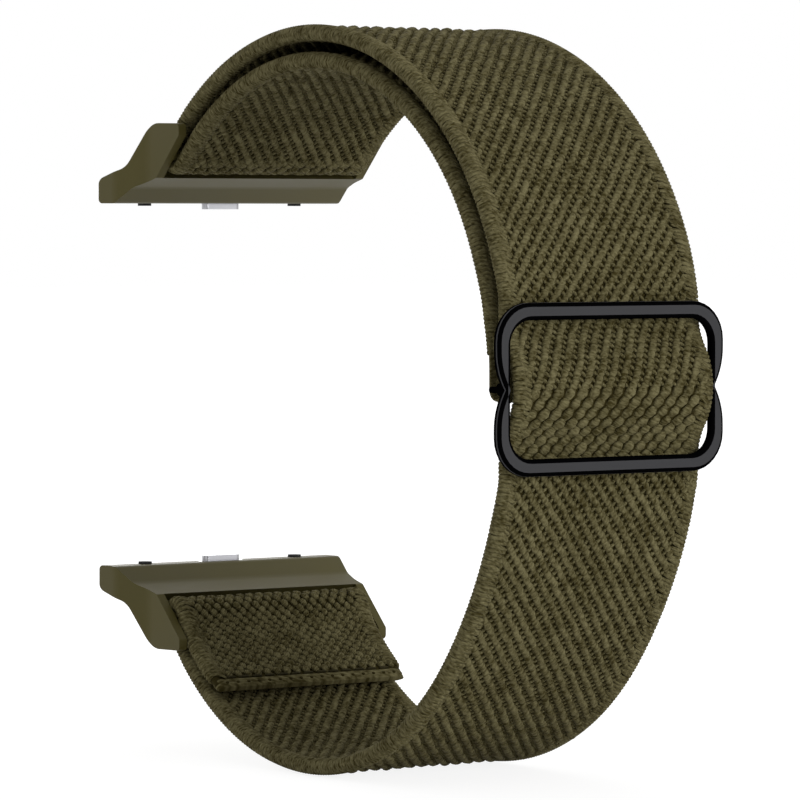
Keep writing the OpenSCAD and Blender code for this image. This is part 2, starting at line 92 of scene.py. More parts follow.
def look_at(name, data, target, azimuth, elevation, distance):
    """A camera or lamp that looks at a point from two angles, in degrees, and a distance."""
    a = math.radians(azimuth)
    e = math.radians(elevation)
    away = Vector((math.sin(a) * math.cos(e), -math.cos(a) * math.cos(e), math.sin(e)))
    holder = bpy.data.objects.new(name, data)
    holder.location = target + away * distance
    holder.rotation_euler = (-away).to_track_quat("-Z", "Y").to_euler()
    scene.collection.objects.link(holder)
    return holder


lens = bpy.data.cameras.new("camera")
lens.lens = camera_lens_mm
lens.sensor_width = 36
lens.clip_start = 0.01
lens.clip_end = 100
scene.camera = look_at(
    "camera", lens, camera_aim, azimuth=-36, elevation=2.04, distance=camera_distance)
print("camera at", [round(c, 4) for c in scene.camera.location])

# %% [markdown]
# ## Building node trees without clutter
#
# The light, the materials and the Geometry Nodes are all trees of small boxes. One helper
# adds a node, sets its choices and feeds its inputs, each with a plain value or with
# another node's socket, so that a tree below reads like a sum.

# %% Helpers for node trees
def put(tree, kind, *feeds, named=None, **choices):
    """Adds a node of a kind, makes its choices, then feeds its enabled inputs in order and
    others by name. A feed of None leaves its input alone."""
    node = tree.nodes.new(kind)
    for name, value in choices.items():
        setattr(node, name, value)
    fed = list(zip([s for s in node.inputs if s.enabled], feeds))
    fed += [(node.inputs[name], feed) for name, feed in (named or {}).items()]
    for socket, feed in fed:
        if isinstance(feed, bpy.types.NodeSocket):
            tree.links.new(feed, socket)
        elif feed is not None:
            socket.default_value = feed
    return node


def calc(tree, operation, *feeds):
    """One step of arithmetic on numbers."""
    return put(tree, "ShaderNodeMath", *feeds, operation=operation).outputs[0]


def vector_calc(tree, operation, *feeds):
    """One step of arithmetic on vectors."""
    return put(tree, "ShaderNodeVectorMath", *feeds, operation=operation).outputs[0]


def new_group(name, kind, inputs, outputs):
    """A node group with its inputs and outputs named by kind, as in {"Float": "Width, Height"}:
    its tree, what it is given and what it makes."""
    tree = bpy.data.node_groups.new(name, kind)
    for in_out, sockets in (("INPUT", inputs), ("OUTPUT", outputs)):
        for socket_kind, names in sockets.items():
            for socket_name in names.split(", "):
                tree.interface.new_socket(
                    socket_name, in_out=in_out, socket_type="NodeSocket" + socket_kind)
    return tree, put(tree, "NodeGroupInput").outputs, put(tree, "NodeGroupOutput").inputs


def new_material(name):
    """An empty Principled material: itself, its tree and its shader."""
    material = bpy.data.materials.new(name)
    material.use_nodes = True
    return material, material.node_tree, material.node_tree.nodes["Principled BSDF"]


# %% [markdown]
# ## The table, the light and the background
#
# A small matt product is lit with large soft lamps. One big lamp, well to the right of the
# camera and almost level with the strap, shapes the ribs of the weave. A weaker one on the
# left opens the shadows, one behind lights the far side, and one overhead draws the light
# line on the metal. Together they are so weak that a colour renders about as it is written.
#
# What the camera sees of the world is plain white, by Light Path, and the pale floor fades
# to the same white away from the strap, so that the white doesn't come from extra light on
# the strap.

# %% Lamps
scene.view_settings.view_transform = "Standard"
strap_middle = Vector((0, 0, 37 * mm))


def area_lamp(name, size, watts, **place):
    """A square lamp that looks at the middle of the strap."""
    lamp = bpy.data.lights.new(name, "AREA")
    lamp.shape = "SQUARE"
    lamp.size = size
    lamp.energy = watts
    look_at(name, lamp, strap_middle, **place)
    print(name, watts, "W")


area_lamp("key_lamp", size=0.35, watts=2.35, azimuth=12, elevation=9, distance=0.8)
area_lamp("fill_lamp", size=0.7, watts=0.45, azimuth=-95, elevation=20, distance=0.9)
area_lamp("back_lamp", size=0.4, watts=1.6, azimuth=160, elevation=12, distance=0.8)
area_lamp("top_lamp", size=0.6, watts=0.2, azimuth=-20, elevation=85, distance=0.8)


# %% The world
world_strength = 0.43
white = (1, 1, 1, 1)


def white_where_seen(tree, other_shader, target, strength=1.0, share=1.0):
    """Feeds target with plain white of a strength for camera, glossy and transmission rays.
    Share, from 0 to 1, says how much of it turns white."""
    rays = put(tree, "ShaderNodeLightPath").outputs
    seen = rays["Is Camera Ray"]
    for name in ("Is Glossy Ray", "Is Transmission Ray"):
        seen = calc(tree, "MAXIMUM", seen, rays[name])
    plain = put(tree, "ShaderNodeBackground", white, strength).outputs[0]
    mix = put(tree, "ShaderNodeMixShader", calc(tree, "MULTIPLY", seen, share),
              other_shader, plain)
    tree.links.new(mix.outputs[0], target)


world = bpy.data.worlds.new("studio")
world.use_nodes = True
scene.world = world
world_light = world.node_tree.nodes["Background"]
world_light.inputs["Color"].default_value = white
world_light.inputs["Strength"].default_value = world_strength
white_where_seen(world.node_tree, world_light.outputs[0],
                 world.node_tree.nodes["World Output"].inputs["Surface"])
print("world strength", world_strength)

# %% The floor
floor_half = 3.0
floor_white_strength = 1.25
fade_start = 0.03
fade_end = 0.12
least_white = 0.7

floor_mesh = bpy.data.meshes.new("floor")
floor_mesh.from_pydata(
    [(x * floor_half, y * floor_half, 0) for x, y in ((-1, -1), (1, -1), (1, 1), (-1, 1))],
    [],
    [(0, 1, 2, 3)],
)
floor = bpy.data.objects.new("floor", floor_mesh)
scene.collection.objects.link(floor)
floor_material, floor_tree, floor_shader = new_material("pale_floor")
floor_shader.inputs["Base Color"].default_value = (0.93, 0.93, 0.93, 1)
floor_shader.inputs["Roughness"].default_value = 0.9
floor_shader.inputs["Specular IOR Level"].default_value = 0.1
floor_mesh.materials.append(floor_material)
floor_place = put(floor_tree, "ShaderNodeTexCoord").outputs["Object"]
floor_reach = put(floor_tree, "ShaderNodeVectorMath", floor_place, operation="LENGTH")
floor_fade = put(floor_tree, "ShaderNodeMapRange", floor_reach.outputs["Value"],
                 fade_start, fade_end, least_white, interpolation_type="SMOOTHSTEP")
white_where_seen(floor_tree, floor_shader.outputs[0],
                 floor_tree.nodes["Material Output"].inputs["Surface"],
                 floor_white_strength, floor_fade.outputs[0])
print("floor", 2 * floor_half, "m square")

# %% [markdown]
# ## The webbing's path
#
# Seen from the side, the strap is a chain of arcs and short straights. The path plane's
# first axis is world Y and its second is world Z. The upper bow's centre is where the
# slider's joint turns, and the two bars are where the connectors' joints turn, so those
# three points come from the frame. The rest follows from the webbing's own sizes. A drawn
# Bezier curve could look the same, but it wouldn't follow when one of the sizes changes.

# %% Sizes of the webbing and its path
webbing_w = 24 * mm
webbing_t = 1.5 * mm
bead_d = 1.9 * mm
layer_gap = 0.05 * mm
layer_step = 2.7 * mm
sewn_step = bead_d + layer_gap
bar_r = layer_step / 2
upper_r = 33.05 * mm
inner_r = upper_r - layer_step
front_r = 45.05 * mm
bottom_r = 30.05 * mm
fold_r = bottom_r - sewn_step
top_end = 47
bottom_start = 220
bottom_end = 318
top_heading = top_end - 90
bottom_heading = bottom_end - 270
pressed_lead = 0.8 * mm
adjust_reach = 84
adjust_reach_low = 33
fold_close = 22
fold_len = 7.3 * mm
hem_len = 1.15 * mm
hem_trench = 0.12 * mm
path_step = 0.25 * mm
print("webbing", round(webbing_w / mm, 1), "mm wide, layers", round(layer_step / mm, 1),
      "mm apart")

# %% Sizes of the pass through the slider
slider_low, slider_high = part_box("slider_frame")
slider_front = slider_low.y
slider_z = (slider_low.z + slider_high.z) / 2
slider_h = slider_high.z - slider_low.z
slider_t = 1.3 * mm
slider_bar_h = 1.4 * mm
bar_gap = 0.06 * mm
pass_overhang = 1 * mm
pass_bend_r = 4 * mm
crest_proud = 0.15 * mm
crest_y = slider_front - crest_proud
back_y = slider_front + slider_t + bar_gap + webbing_t / 2
swing_share = 0.75
swing_z = slider_h / 2 - swing_share * slider_bar_h
middle_bar_d = 1.2 * mm
tail_t = 0.7 * mm
tail_show_w = webbing_w + 0.1 * mm
tail_thin = 4
tail_overlap = 0.5
tail_join = 3.6
tail_last = 7.2
print("slider", round(slider_h / mm, 2), "mm tall, its middle at", round(slider_z / mm, 2))


# %% Helpers for the path plane
def spot(y, z):
    """A point of the path plane."""
    return np.array([y, z])


def along(degrees):
    """Unit vector at an angle of the path plane."""
    a = math.radians(degrees)
    return spot(math.cos(a), math.sin(a))


def arc(centre, radius, start, end, step=path_step):
    """Points on an arc, from one angle to another."""
    count = max(4, math.ceil(abs(math.radians(end - start)) * radius / step))
    return [centre + radius * along(start + (end - start) * i / count) for i in range(count + 1)]


def straight(start, end):
    """Points on a straight line."""
    count = max(1, math.ceil(np.linalg.norm(end - start) / path_step))
    return [start + (end - start) * i / count for i in range(count + 1)]


def chain(*parts):
    """Joins stretches end to end and drops the points that they share."""
    points = list(parts[0])
    for part in parts[1:]:
        points += list(part)[1:]
    return np.array(points)


def arc_degrees(sine):
    """Angle whose sine is given, in degrees."""
    return math.degrees(math.asin(sine))


upper_c, top_bar, bottom_bar = (
    spot(*joint_at[joint][1:])
    for joint in ("slider_travel", "top_connector_hinge", "bottom_connector_hinge")
)
print("bow's centre", upper_c, "bars", top_bar, bottom_bar)

# %% [markdown]
# The webbing is walked from its sewn end at the bottom to its tail, so that one side of
# it is the outside all the way: it faces the wrist on the fold-back, then away from the
# wrist up the outside, and the wrist again on the inner layer.

# %% Centres of the lower bows
bow_rise = upper_c[1] - slider_z
pass_reach = arc_degrees((slider_h / 2 + pass_overhang - bow_rise) / upper_r)
pass_reach_low = arc_degrees((slider_h / 2 + pass_overhang + bow_rise) / front_r)
front_c = spot(back_y + pass_bend_r + (front_r - pass_bend_r) * along(pass_reach_low)[0],
               upper_c[1])
bottom_c = front_c + (front_r - bottom_r) * along(bottom_start)
bottom_lead = np.linalg.norm(
    bottom_bar - bottom_c - bar_r * -along(bottom_end) - bottom_r * along(bottom_end))
print("bottom lead", round(bottom_lead / mm, 2), "mm")

# %% The fold-back and the lower run
fold_turn = bottom_end - 180 + fold_close
close_sin = math.sin(math.radians(fold_close))
close_cos = math.cos(math.radians(fold_close))
fold_along = bottom_lead - bar_r * close_sin
fold_drop = bar_r * close_cos - (sewn_step - bar_r)
fold_bend_r = (fold_along * close_sin - fold_drop * close_cos) / (1 - close_cos)
fold_lead = (fold_drop * close_sin - fold_along * (1 - close_cos)) / (1 - close_cos)
fold_lead_end = bottom_bar + bar_r * along(fold_turn) + fold_lead * along(fold_turn + 90)
fold_end = bottom_end - math.degrees(fold_len / fold_r)
bottom_turn_start = bottom_bar + bar_r * along(bottom_end)
bottom_press = bottom_turn_start - pressed_lead * along(bottom_heading)
lower_fold = chain(
    arc(bottom_c, fold_r, fold_end, bottom_end),
    arc(fold_lead_end + fold_bend_r * along(fold_turn), fold_bend_r, bottom_end,
        fold_turn + 180),
    straight(fold_lead_end, bottom_bar + bar_r * along(fold_turn)),
    arc(bottom_bar, bar_r, fold_turn + 360, bottom_end),
    straight(bottom_turn_start, bottom_press),
)
bottom_middle = (bottom_start + bottom_end) / 2
lower_run_back = chain(
    straight(bottom_press, bottom_c + bottom_r * along(bottom_end)),
    arc(bottom_c, bottom_r, bottom_end, bottom_middle),
)
lower_run_front = chain(
    arc(bottom_c, bottom_r, bottom_middle, bottom_start),
    arc(front_c, front_r, bottom_start, 180 + adjust_reach_low),
)
lower_adjust = chain(arc(front_c, front_r, 180 + adjust_reach_low, 180 + pass_reach_low))
print("fold bend", round(fold_bend_r / mm, 2), "mm")

# %% The pass behind and over the slider's bars
pass_turn = 2 * math.degrees(math.atan((back_y - crest_y) / swing_z))
pass_r = swing_z / (2 * math.sin(math.radians(pass_turn)))
pass_top_z = upper_c[1] + (upper_r - pass_bend_r) * along(pass_reach)[1]
pass_low_z = upper_c[1] - (front_r - pass_bend_r) * along(pass_reach_low)[1]
swing_low, swing_high = slider_z - swing_z, slider_z + swing_z
crest_c = spot(crest_y + pass_r, slider_z)
pass_bottom = chain(
    arc(spot(back_y + pass_bend_r, pass_low_z), pass_bend_r, 180 + pass_reach_low, 180),
    straight(spot(back_y, pass_low_z), spot(back_y, swing_low)),
)
pass_low = chain(
    arc(spot(back_y - pass_r, swing_low), pass_r, 0, pass_turn),
    arc(crest_c, pass_r, 180 + pass_turn, 180),
)
pass_high = chain(
    arc(crest_c, pass_r, 180, 180 - pass_turn),
    arc(spot(back_y - pass_r, swing_high), pass_r, -pass_turn, 0),
)
pass_top = chain(
    straight(spot(back_y, swing_high), spot(back_y, pass_top_z)),
    arc(spot(back_y + pass_bend_r, pass_top_z), pass_bend_r, 180, 180 - pass_reach),
)
print("pass bend", round(pass_r / mm, 2), "mm")

# %% The outer layer, the turn round the top bar and the inner layer
outer_adjust = chain(arc(upper_c, upper_r, 180 - pass_reach, 180 - adjust_reach))
outer_turn_start = top_bar + bar_r * along(top_end)
inner_turn_start = top_bar - bar_r * along(top_end)
outer_press = outer_turn_start - pressed_lead * along(top_heading)
inner_press = inner_turn_start - pressed_lead * along(top_heading)
outer_run = chain(
    arc(upper_c, upper_r, 180 - adjust_reach, top_end),
    straight(upper_c + upper_r * along(top_end), outer_press),
)
top_turn = chain(
    straight(outer_press, outer_turn_start),
    arc(top_bar, bar_r, top_end, top_end - 180),
    straight(inner_turn_start, inner_press),
)
inner_run = chain(
    straight(inner_press, upper_c + inner_r * along(top_end)),
    arc(upper_c, inner_r, top_end, 180 - adjust_reach),
)
inner_adjust = chain(arc(upper_c, inner_r, 180 - adjust_reach, 180 - pass_reach))
tail_end = chain(arc(upper_c, inner_r, 180 - pass_reach, 180 + tail_overlap - tail_thin))
print("outer run", len(outer_run), "points, inner run", len(inner_run), "points")

# %% The thin tail round the slider's middle bar
tail_wrap_r = middle_bar_d / 2 + layer_gap + tail_t / 2
inner_face_y = upper_c[0] - inner_r - webbing_t / 2
middle_bar = spot(inner_face_y - layer_gap - middle_bar_d / 2, slider_z)
tail_arc_r = inner_r + webbing_t / 2 + layer_gap + tail_t / 2
tail_foot = middle_bar - spot(tail_wrap_r, 0)
tail_shift = upper_c + tail_arc_r * along(180 - tail_join) - tail_foot
tilt = math.radians(tail_join)
tail_sum = tail_shift[1] * (1 + math.cos(tilt)) + tail_shift[0] * math.sin(tilt)
tail_turn = (180 - arc_degrees(tail_sum / (2 * np.linalg.norm(tail_shift)))
             - math.degrees(math.atan2(tail_shift[1], tail_shift[0])))
tail_ease_r = tail_shift[1] / (2 * math.sin(math.radians(tail_turn)) - math.sin(tilt))
tail_wrap = chain(
    arc(upper_c, inner_r + (webbing_t - tail_t) / 2, 180 - tail_thin, 180),
    straight(middle_bar + spot(tail_wrap_r, bow_rise), middle_bar + spot(tail_wrap_r, 0)),
    arc(middle_bar, tail_wrap_r, 360, 180),
    arc(tail_foot + spot(tail_ease_r, 0), tail_ease_r, 180, 180 - tail_turn),
    arc(upper_c + (tail_arc_r + tail_ease_r) * along(180 - tail_join), tail_ease_r,
        -tail_turn, -tail_join),
    arc(upper_c, tail_arc_r, 180 - tail_join, 180 - tail_last),
)
print("tail turn", round(tail_turn, 1), "degrees, ease radius", round(tail_ease_r / mm, 2), "mm")

# %% [markdown]
# ## The stitches
#
# Close up, the cloth isn't flat. Thick yarns run over it in slanting ribs, thin yarns
# cross the grooves between them, and each edge is wrapped with a fine yarn. A rib stitch
# spans three rows and swells in each, which gives the rib its lumps. In the lower half of
# the slider's window the cloth opens into scales, and where it is folded it shows round
# knobs, finer ones where it is sewn.
#
# A texture could fake this, but the pits have to throw real shadows and the edge has to
# be knobbly in silhouette. So each kind of stitch is modelled once as a bent tube of few
# faces, and Geometry Nodes repeat it over the cloth.

# %% Sizes of the weave
columns = 15
column_pitch = 1.44 * mm
row_pitch = 0.55 * mm
knob_pitch = 0.65 * mm
scale_pitch = 0.95 * mm
fine_columns = 18
fine_pitch = 0.56 * mm
whip_pitch = 0.42 * mm
bead_inset = 0.82 * mm
bead_across = webbing_w / 2 - bead_inset
core_half_t = 0.32 * mm
bead_core_r = 0.56 * mm
pressed_share = webbing_t / bead_d
print("weave:", columns, "columns, rows", round(row_pitch / mm, 2), "mm apart")


# %% Helpers that build a mesh
def finish_mesh(name, build, *materials):
    """Ends a mesh that is being built, and gives the object that holds it."""
    mesh = bpy.data.meshes.new(name)
    build.to_mesh(mesh)
    build.free()
    for material in materials:
        mesh.materials.append(material)
    return bpy.data.objects.new(name, mesh)


def tube(name, line, radii, sides, reference, flat=1.0):
    """A closed tube along a short line, pointed at both ends, with its length in U."""
    line = [Vector(point) * mm for point in line]
    reference = Vector(reference)
    build = bmesh.new()
    uv = build.loops.layers.uv.new("UVMap")
    rings = []
    for i in range(1, len(line) - 1):
        ahead = (line[i + 1] - line[i - 1]).normalized()
        side = ahead.cross(reference).normalized()
        up = side.cross(ahead) * flat
        rings.append([
            build.verts.new(line[i] + radii[i - 1] * mm * (
                math.cos(math.tau * k / sides) * side + math.sin(math.tau * k / sides) * up))
            for k in range(sides)
        ])
    tips = build.verts.new(line[0]), build.verts.new(line[-1])

    def wall(corners, ends, k):
        face = build.faces.new(corners)
        face.smooth = True
        for loop, (u, v) in zip(face.loops, ends):
            loop[uv].uv = (u / (len(line) - 1), (k + v) / sides)

    for k in range(sides):
        n = (k + 1) % sides
        wall((tips[0], rings[0][n], rings[0][k]), ((0, 0.5), (1, 1), (1, 0)), k)
        wall((tips[1], rings[-1][k], rings[-1][n]),
             ((len(line) - 1, 0.5), (len(line) - 2, 0), (len(line) - 2, 1)), k)
        for i in range(len(rings) - 1):
            wall((rings[i][k], rings[i][n], rings[i + 1][n], rings[i + 1][k]),
                 ((i + 1, 0), (i + 1, 1), (i + 2, 1), (i + 2, 0)), k)
    bmesh.ops.recalc_face_normals(build, faces=build.faces)
    return finish_mesh(name, build)


# %% The kinds of stitch
rib_line = [
    (-1.04, -1.18, 0.18), (-0.86, -0.92, 0.38), (-0.55, -0.56, 0.50), (-0.29, -0.28, 0.45),
    (-0.02, 0.00, 0.51), (0.24, 0.28, 0.45), (0.48, 0.57, 0.48), (0.72, 0.90, 0.36),
    (0.92, 1.18, 0.18),
]
rib_radii = (0.27, 0.41, 0.30, 0.42, 0.30, 0.39, 0.25)
cross_line = [(0.16, 0.50, 0.10), (0.42, 0.28, 0.36), (0.70, 0.0, 0.39), (0.98, -0.28, 0.36),
              (1.24, -0.50, 0.10)]
cross_radii = (0.16, 0.20, 0.16)
knob_line = [(-0.40, -0.60, 0.10), (-0.24, -0.32, 0.36), (-0.02, 0.02, 0.45),
             (0.18, 0.28, 0.43), (0.32, 0.50, 0.12)]
knob_radii = (0.42, 0.56, 0.44)
scale_line = [(-0.50, -0.96, 0.00), (-0.36, -0.66, 0.12), (-0.14, -0.20, 0.34),
              (0.10, 0.22, 0.46), (0.26, 0.50, 0.44), (0.34, 0.68, 0.06)]
scale_radii = (0.28, 0.50, 0.59, 0.44)


def both_hands(name, line, radii, flat, sides=8):
    """A stitch that leans to the right and its mirror image, by 1 and -1."""
    return {
        hand: tube(f"{name}_{side}", [(hand * x, y, z) for x, y, z in line], radii, sides,
                   (0, 0, 1), flat)
        for hand, side in ((1, "right"), (-1, "left"))
    }


ribs = both_hands("rib_stitch", rib_line, rib_radii, flat=0.72)
crossings = both_hands("cross_stitch", cross_line, cross_radii, flat=0.9, sides=5)
steep_ribs = both_hands("steep_rib_stitch", [(0.6 * x, y, z) for x, y, z in rib_line],
                        [1.12 * r for r in rib_radii], flat=0.66)
steep_crossings = both_hands("steep_cross_stitch", [(x, 0.75 * y, z) for x, y, z in cross_line],
                             cross_radii, flat=0.9, sides=5)
knobs = both_hands("knob_stitch", knob_line, knob_radii, flat=0.5)
scales = both_hands("scale_stitch", scale_line, scale_radii, flat=0.52)
fine_knobs = both_hands("fine_stitch", [(0.8 * x, 0.82 * y, z + 0.04) for x, y, z in knob_line],
                        [0.76 * r for r in knob_radii], flat=0.72)
thin_knobs = both_hands("thin_stitch", [(x, y, z - 0.38) for x, y, z in knob_line],
                        knob_radii, flat=0.5)
for kind in (ribs, crossings, knobs, scales, fine_knobs, thin_knobs):
    print(kind[1].name, len(kind[1].data.polygons), "faces")

# %% The whip stitch, which wraps the edge from face to face
whip_r = 0.68
whip_slant = 0.36
whip_lean = 0.05
whip_inner = ((1.18, 0.34), (0.94, 0.52), (0.50, 0.65))
whip_line = [(-x, whip_slant * x, z) for x, z in whip_inner]
whip_line += [
    (whip_r * math.cos(a), -whip_lean * math.sin(a), whip_r * math.sin(a))
    for a in (math.radians(d) for d in (90, 45, 0, -45, -90))
]
whip_line += [(-x, -whip_slant * x, -z) for x, z in reversed(whip_inner)]
whip_radii = (0.13, 0.16, *5 * (0.175,), 0.16, 0.13)
whip = tube("whip_stitch", whip_line, whip_radii, sides=6, reference=(0, 1, 0), flat=1.4)
print(whip.name, len(whip.data.polygons), "faces")

# %% [markdown]
# ## Geometry Nodes that lay the stitches
#
# One tree lays stitches over a face of the webbing. It makes a point for each stitch,
# turns the point's index into a row and a column, and samples the path at that row: the
# path gives the place and the direction, and their cross product with the strap's width
# gives the outward direction. Arrays and curve modifiers could do it too, but they can't
# shift every row or give each stitch its own slight turn and tone.

# %% Steps that the trees share
strap_side = (1, 0, 0)


def joined(tree, parts):
    """Several geometries as one."""
    join = put(tree, "GeometryNodeJoinGeometry")
    for part in parts:
        tree.links.new(part, join.inputs[0])
    return join.outputs[0]


def rows_along(tree, path, pitch):
    """A path's length, and how many rows of a pitch fit it."""
    length = put(tree, "GeometryNodeCurveLength", path).outputs[0]
    return length, calc(tree, "ROUND", calc(tree, "DIVIDE", length, pitch))


def sample_path(tree, path, row, rows, length, value=None):
    """Place, outward direction, direction and a value of the path at the middle of a row."""
    at = calc(tree, "MULTIPLY", calc(tree, "DIVIDE", calc(tree, "ADD", row, 0.5), rows), length)
    sample = put(tree, "GeometryNodeSampleCurve", mode="LENGTH",
                 named={"Curves": path, "Length": at, "Value": value})
    ahead = sample.outputs["Tangent"]
    outward = vector_calc(tree, "CROSS_PRODUCT", strap_side, ahead)
    return sample.outputs["Position"], outward, ahead, sample.outputs["Value"]


def points_at(tree, count, place, across):
    """Points on the path's places, moved across the webbing."""
    sideways = vector_calc(tree, "SCALE", strap_side, across)
    return put(tree, "GeometryNodePoints", count,
               vector_calc(tree, "ADD", place, sideways)).outputs[0]


def random_number(tree, low, high, seed):
    """A number for each stitch between two limits."""
    return put(tree, "FunctionNodeRandomValue", low, high, named={"Seed": seed},
               data_type="FLOAT").outputs[1]


def facing(tree, outward, hand, across, ahead, turn):
    """Turns a stitch: its Z outwards, or inwards where hand is -1, and its X across, with
    a slight turn along the path."""
    out = vector_calc(tree, "SCALE", outward, hand)
    side = vector_calc(tree, "ADD", across, vector_calc(tree, "SCALE", ahead, turn))
    return put(tree, "FunctionNodeAxesToRotation", primary_axis="Z", secondary_axis="X",
               named={"Primary Axis": out, "Secondary Axis": side}).outputs[0]


def lay(tree, points, stitch, rotation, scale, seed, which=None):
    """Puts a stitch on each point, or on those chosen, and gives each its own tone."""
    shape = put(tree, "GeometryNodeObjectInfo", named={"Object": stitch})
    laid = put(tree, "GeometryNodeInstanceOnPoints", named={
        "Points": points, "Selection": which, "Instance": shape.outputs["Geometry"],
        "Rotation": rotation, "Scale": scale})
    return put(tree, "GeometryNodeStoreNamedAttribute", domain="INSTANCE", named={
        "Name": "tone", "Geometry": laid.outputs[0],
        "Value": random_number(tree, 0, 1, seed)}).outputs[0]


# %% Tree: one face of stitches
half_row = 0.5 / 3
stitch_turn = 0.09
stitch_sizes = (0.9, 1.05)


def stitched_face_tree():
    """Rows of stitches over one face of a stretch of webbing."""
    tree, asked, made = new_group(
        "stitched_face", "GeometryNodeTree",
        {"Geometry": "Path", "Object": "Stitch, Crossing",
         "Float": "Every, Columns, Column Pitch, Row Pitch, Lean, Side, First Row",
         "Int": "Seed"},
        {"Geometry": "Stitches"})
    length, rows = rows_along(tree, asked["Path"], asked["Row Pitch"])
    index = put(tree, "GeometryNodeInputIndex").outputs[0]
    row = calc(tree, "FLOOR",
               calc(tree, "DIVIDE", calc(tree, "ADD", index, 0.5), asked["Columns"]))
    column = calc(tree, "SUBTRACT", index, calc(tree, "MULTIPLY", row, asked["Columns"]))
    counted = calc(tree, "ADD", row, asked["First Row"])
    shift = calc(tree, "FRACT",
                 calc(tree, "MULTIPLY", calc(tree, "ADD", counted, half_row), asked["Lean"]))
    middle = calc(tree, "MULTIPLY", asked["Columns"], 0.5)
    across = calc(tree, "MULTIPLY",
                  calc(tree, "SUBTRACT", calc(tree, "ADD", column, shift), middle),
                  asked["Column Pitch"])
    place, outward, ahead, _ = sample_path(tree, asked["Path"], row, rows, length)
    points = points_at(tree, calc(tree, "MULTIPLY", rows, asked["Columns"]), place, across)
    turn = random_number(tree, -stitch_turn, stitch_turn, asked["Seed"])
    rotation = facing(tree, outward, asked["Side"], strap_side, ahead, turn)
    size = random_number(tree, *stitch_sizes, calc(tree, "ADD", asked["Seed"], 1))
    tone_seed = calc(tree, "ADD", asked["Seed"], 2)
    chosen = calc(tree, "LESS_THAN",
                  calc(tree, "FLOORED_MODULO", counted, asked["Every"]), 0.5)
    tree.links.new(joined(tree, [
        lay(tree, points, stitch, rotation, size, tone_seed, which)
        for stitch, which in ((asked["Stitch"], chosen), (asked["Crossing"], None))
    ]), made[0])
    return tree


face_nodes = stitched_face_tree()
print("face tree:", len(face_nodes.nodes), "nodes")

# %% Tree: the whip stitches round one edge
whip_turn = 0.12


def whipped_edge_tree():
    """Stitches that wrap one edge bead. Across is the bead's signed place."""
    tree, asked, made = new_group(
        "whipped_edge", "GeometryNodeTree",
        {"Geometry": "Path", "Object": "Stitch", "Float": "Row Pitch, Across", "Int": "Seed"},
        {"Geometry": "Stitches"})
    length, rows = rows_along(tree, asked["Path"], asked["Row Pitch"])
    index = put(tree, "GeometryNodeInputIndex").outputs[0]
    bead = put(tree, "GeometryNodeInputNamedAttribute", data_type="FLOAT",
               named={"Name": "bead"}).outputs[0]
    place, outward, ahead, share = sample_path(tree, asked["Path"], index, rows, length, bead)
    points = points_at(tree, rows, place, asked["Across"])
    hand = calc(tree, "SIGN", asked["Across"])
    turn = random_number(tree, -whip_turn, whip_turn, asked["Seed"])
    rotation = facing(tree, outward, hand, vector_calc(tree, "SCALE", strap_side, hand),
                      ahead, turn)
    size = put(tree, "ShaderNodeCombineXYZ", 1.0, 1.0, share).outputs[0]
    tone_seed = calc(tree, "ADD", asked["Seed"], 2)
    tree.links.new(lay(tree, points, asked["Stitch"], rotation, size, tone_seed), made[0])
    return tree


edge_nodes = whipped_edge_tree()
print("edge tree:", len(edge_nodes.nodes), "nodes")

# %% Tree: a whole stretch of webbing
def webbing_tree(face_tree, edge_tree):
    """Core, two stitched faces and two whipped edges along a path drawn as edges."""
    tree, asked, made = new_group(
        "webbing", "GeometryNodeTree",
        {"Geometry": "Geometry",
         "Object": "Core, Front Stitch, Back Stitch, Front Crossing, Back Crossing, "
                   "Whip Stitch",
         "Float": "Every, Columns, Column Pitch, Row Pitch, Whip Pitch, Edge Across, "
                  "Front Lean, Back Lean, First Row",
         "Int": "Seed", "Material": "Yarn"},
        {"Geometry": "Geometry"})
    path = put(tree, "GeometryNodeMeshToCurve", asked["Geometry"]).outputs[0]
    same = {
        name: asked[name]
        for name in ("Every", "Columns", "Column Pitch", "Row Pitch", "First Row", "Seed")
    }
    parts = [
        put(tree, "GeometryNodeGroup", node_tree=face_tree, named={
            "Path": path, "Side": side, "Stitch": asked[face + " Stitch"],
            "Crossing": asked[face + " Crossing"], "Lean": asked[face + " Lean"], **same})
        for side, face in ((1, "Front"), (-1, "Back"))
    ]
    parts += [
        put(tree, "GeometryNodeGroup", node_tree=edge_tree, named={
            "Path": path, "Stitch": asked["Whip Stitch"], "Row Pitch": asked["Whip Pitch"],
            "Across": calc(tree, "MULTIPLY", asked["Edge Across"], hand),
            "Seed": asked["Seed"]})
        for hand in (1, -1)
    ]
    stitches = joined(tree, [part.outputs[0] for part in parts])
    real = put(tree, "GeometryNodeRealizeInstances", stitches).outputs[0]
    dyed = put(tree, "GeometryNodeSetMaterial",
               named={"Geometry": real, "Material": asked["Yarn"]}).outputs[0]
    core = put(tree, "GeometryNodeObjectInfo", named={"Object": asked["Core"]})
    tree.links.new(joined(tree, [dyed, core.outputs["Geometry"]]), made[0])
    return tree


webbing_nodes = webbing_tree(face_nodes, edge_nodes)
print("webbing tree:", len(webbing_nodes.nodes), "nodes")

# %% [markdown]
# ## Materials
#
# Yarn is a bundle of fine threads: matt, with lighter streaks along its length painted as
# the sheen where it catches the light, and never quite the same tone from stitch to stitch.
# One node group makes the fine threads and the tone from each stitch's own UV map and its
# tone attribute, and the yarn, the sewing thread and the core under the stitches, painted
# dark as the shade between them, all use it. A picture of cloth would be quicker, but it
# couldn't follow each stitch round its bend.

# %% Steps that the materials share
finish_outputs = {"Color": "Color", "Float": "Roughness", "Vector": "Normal"}


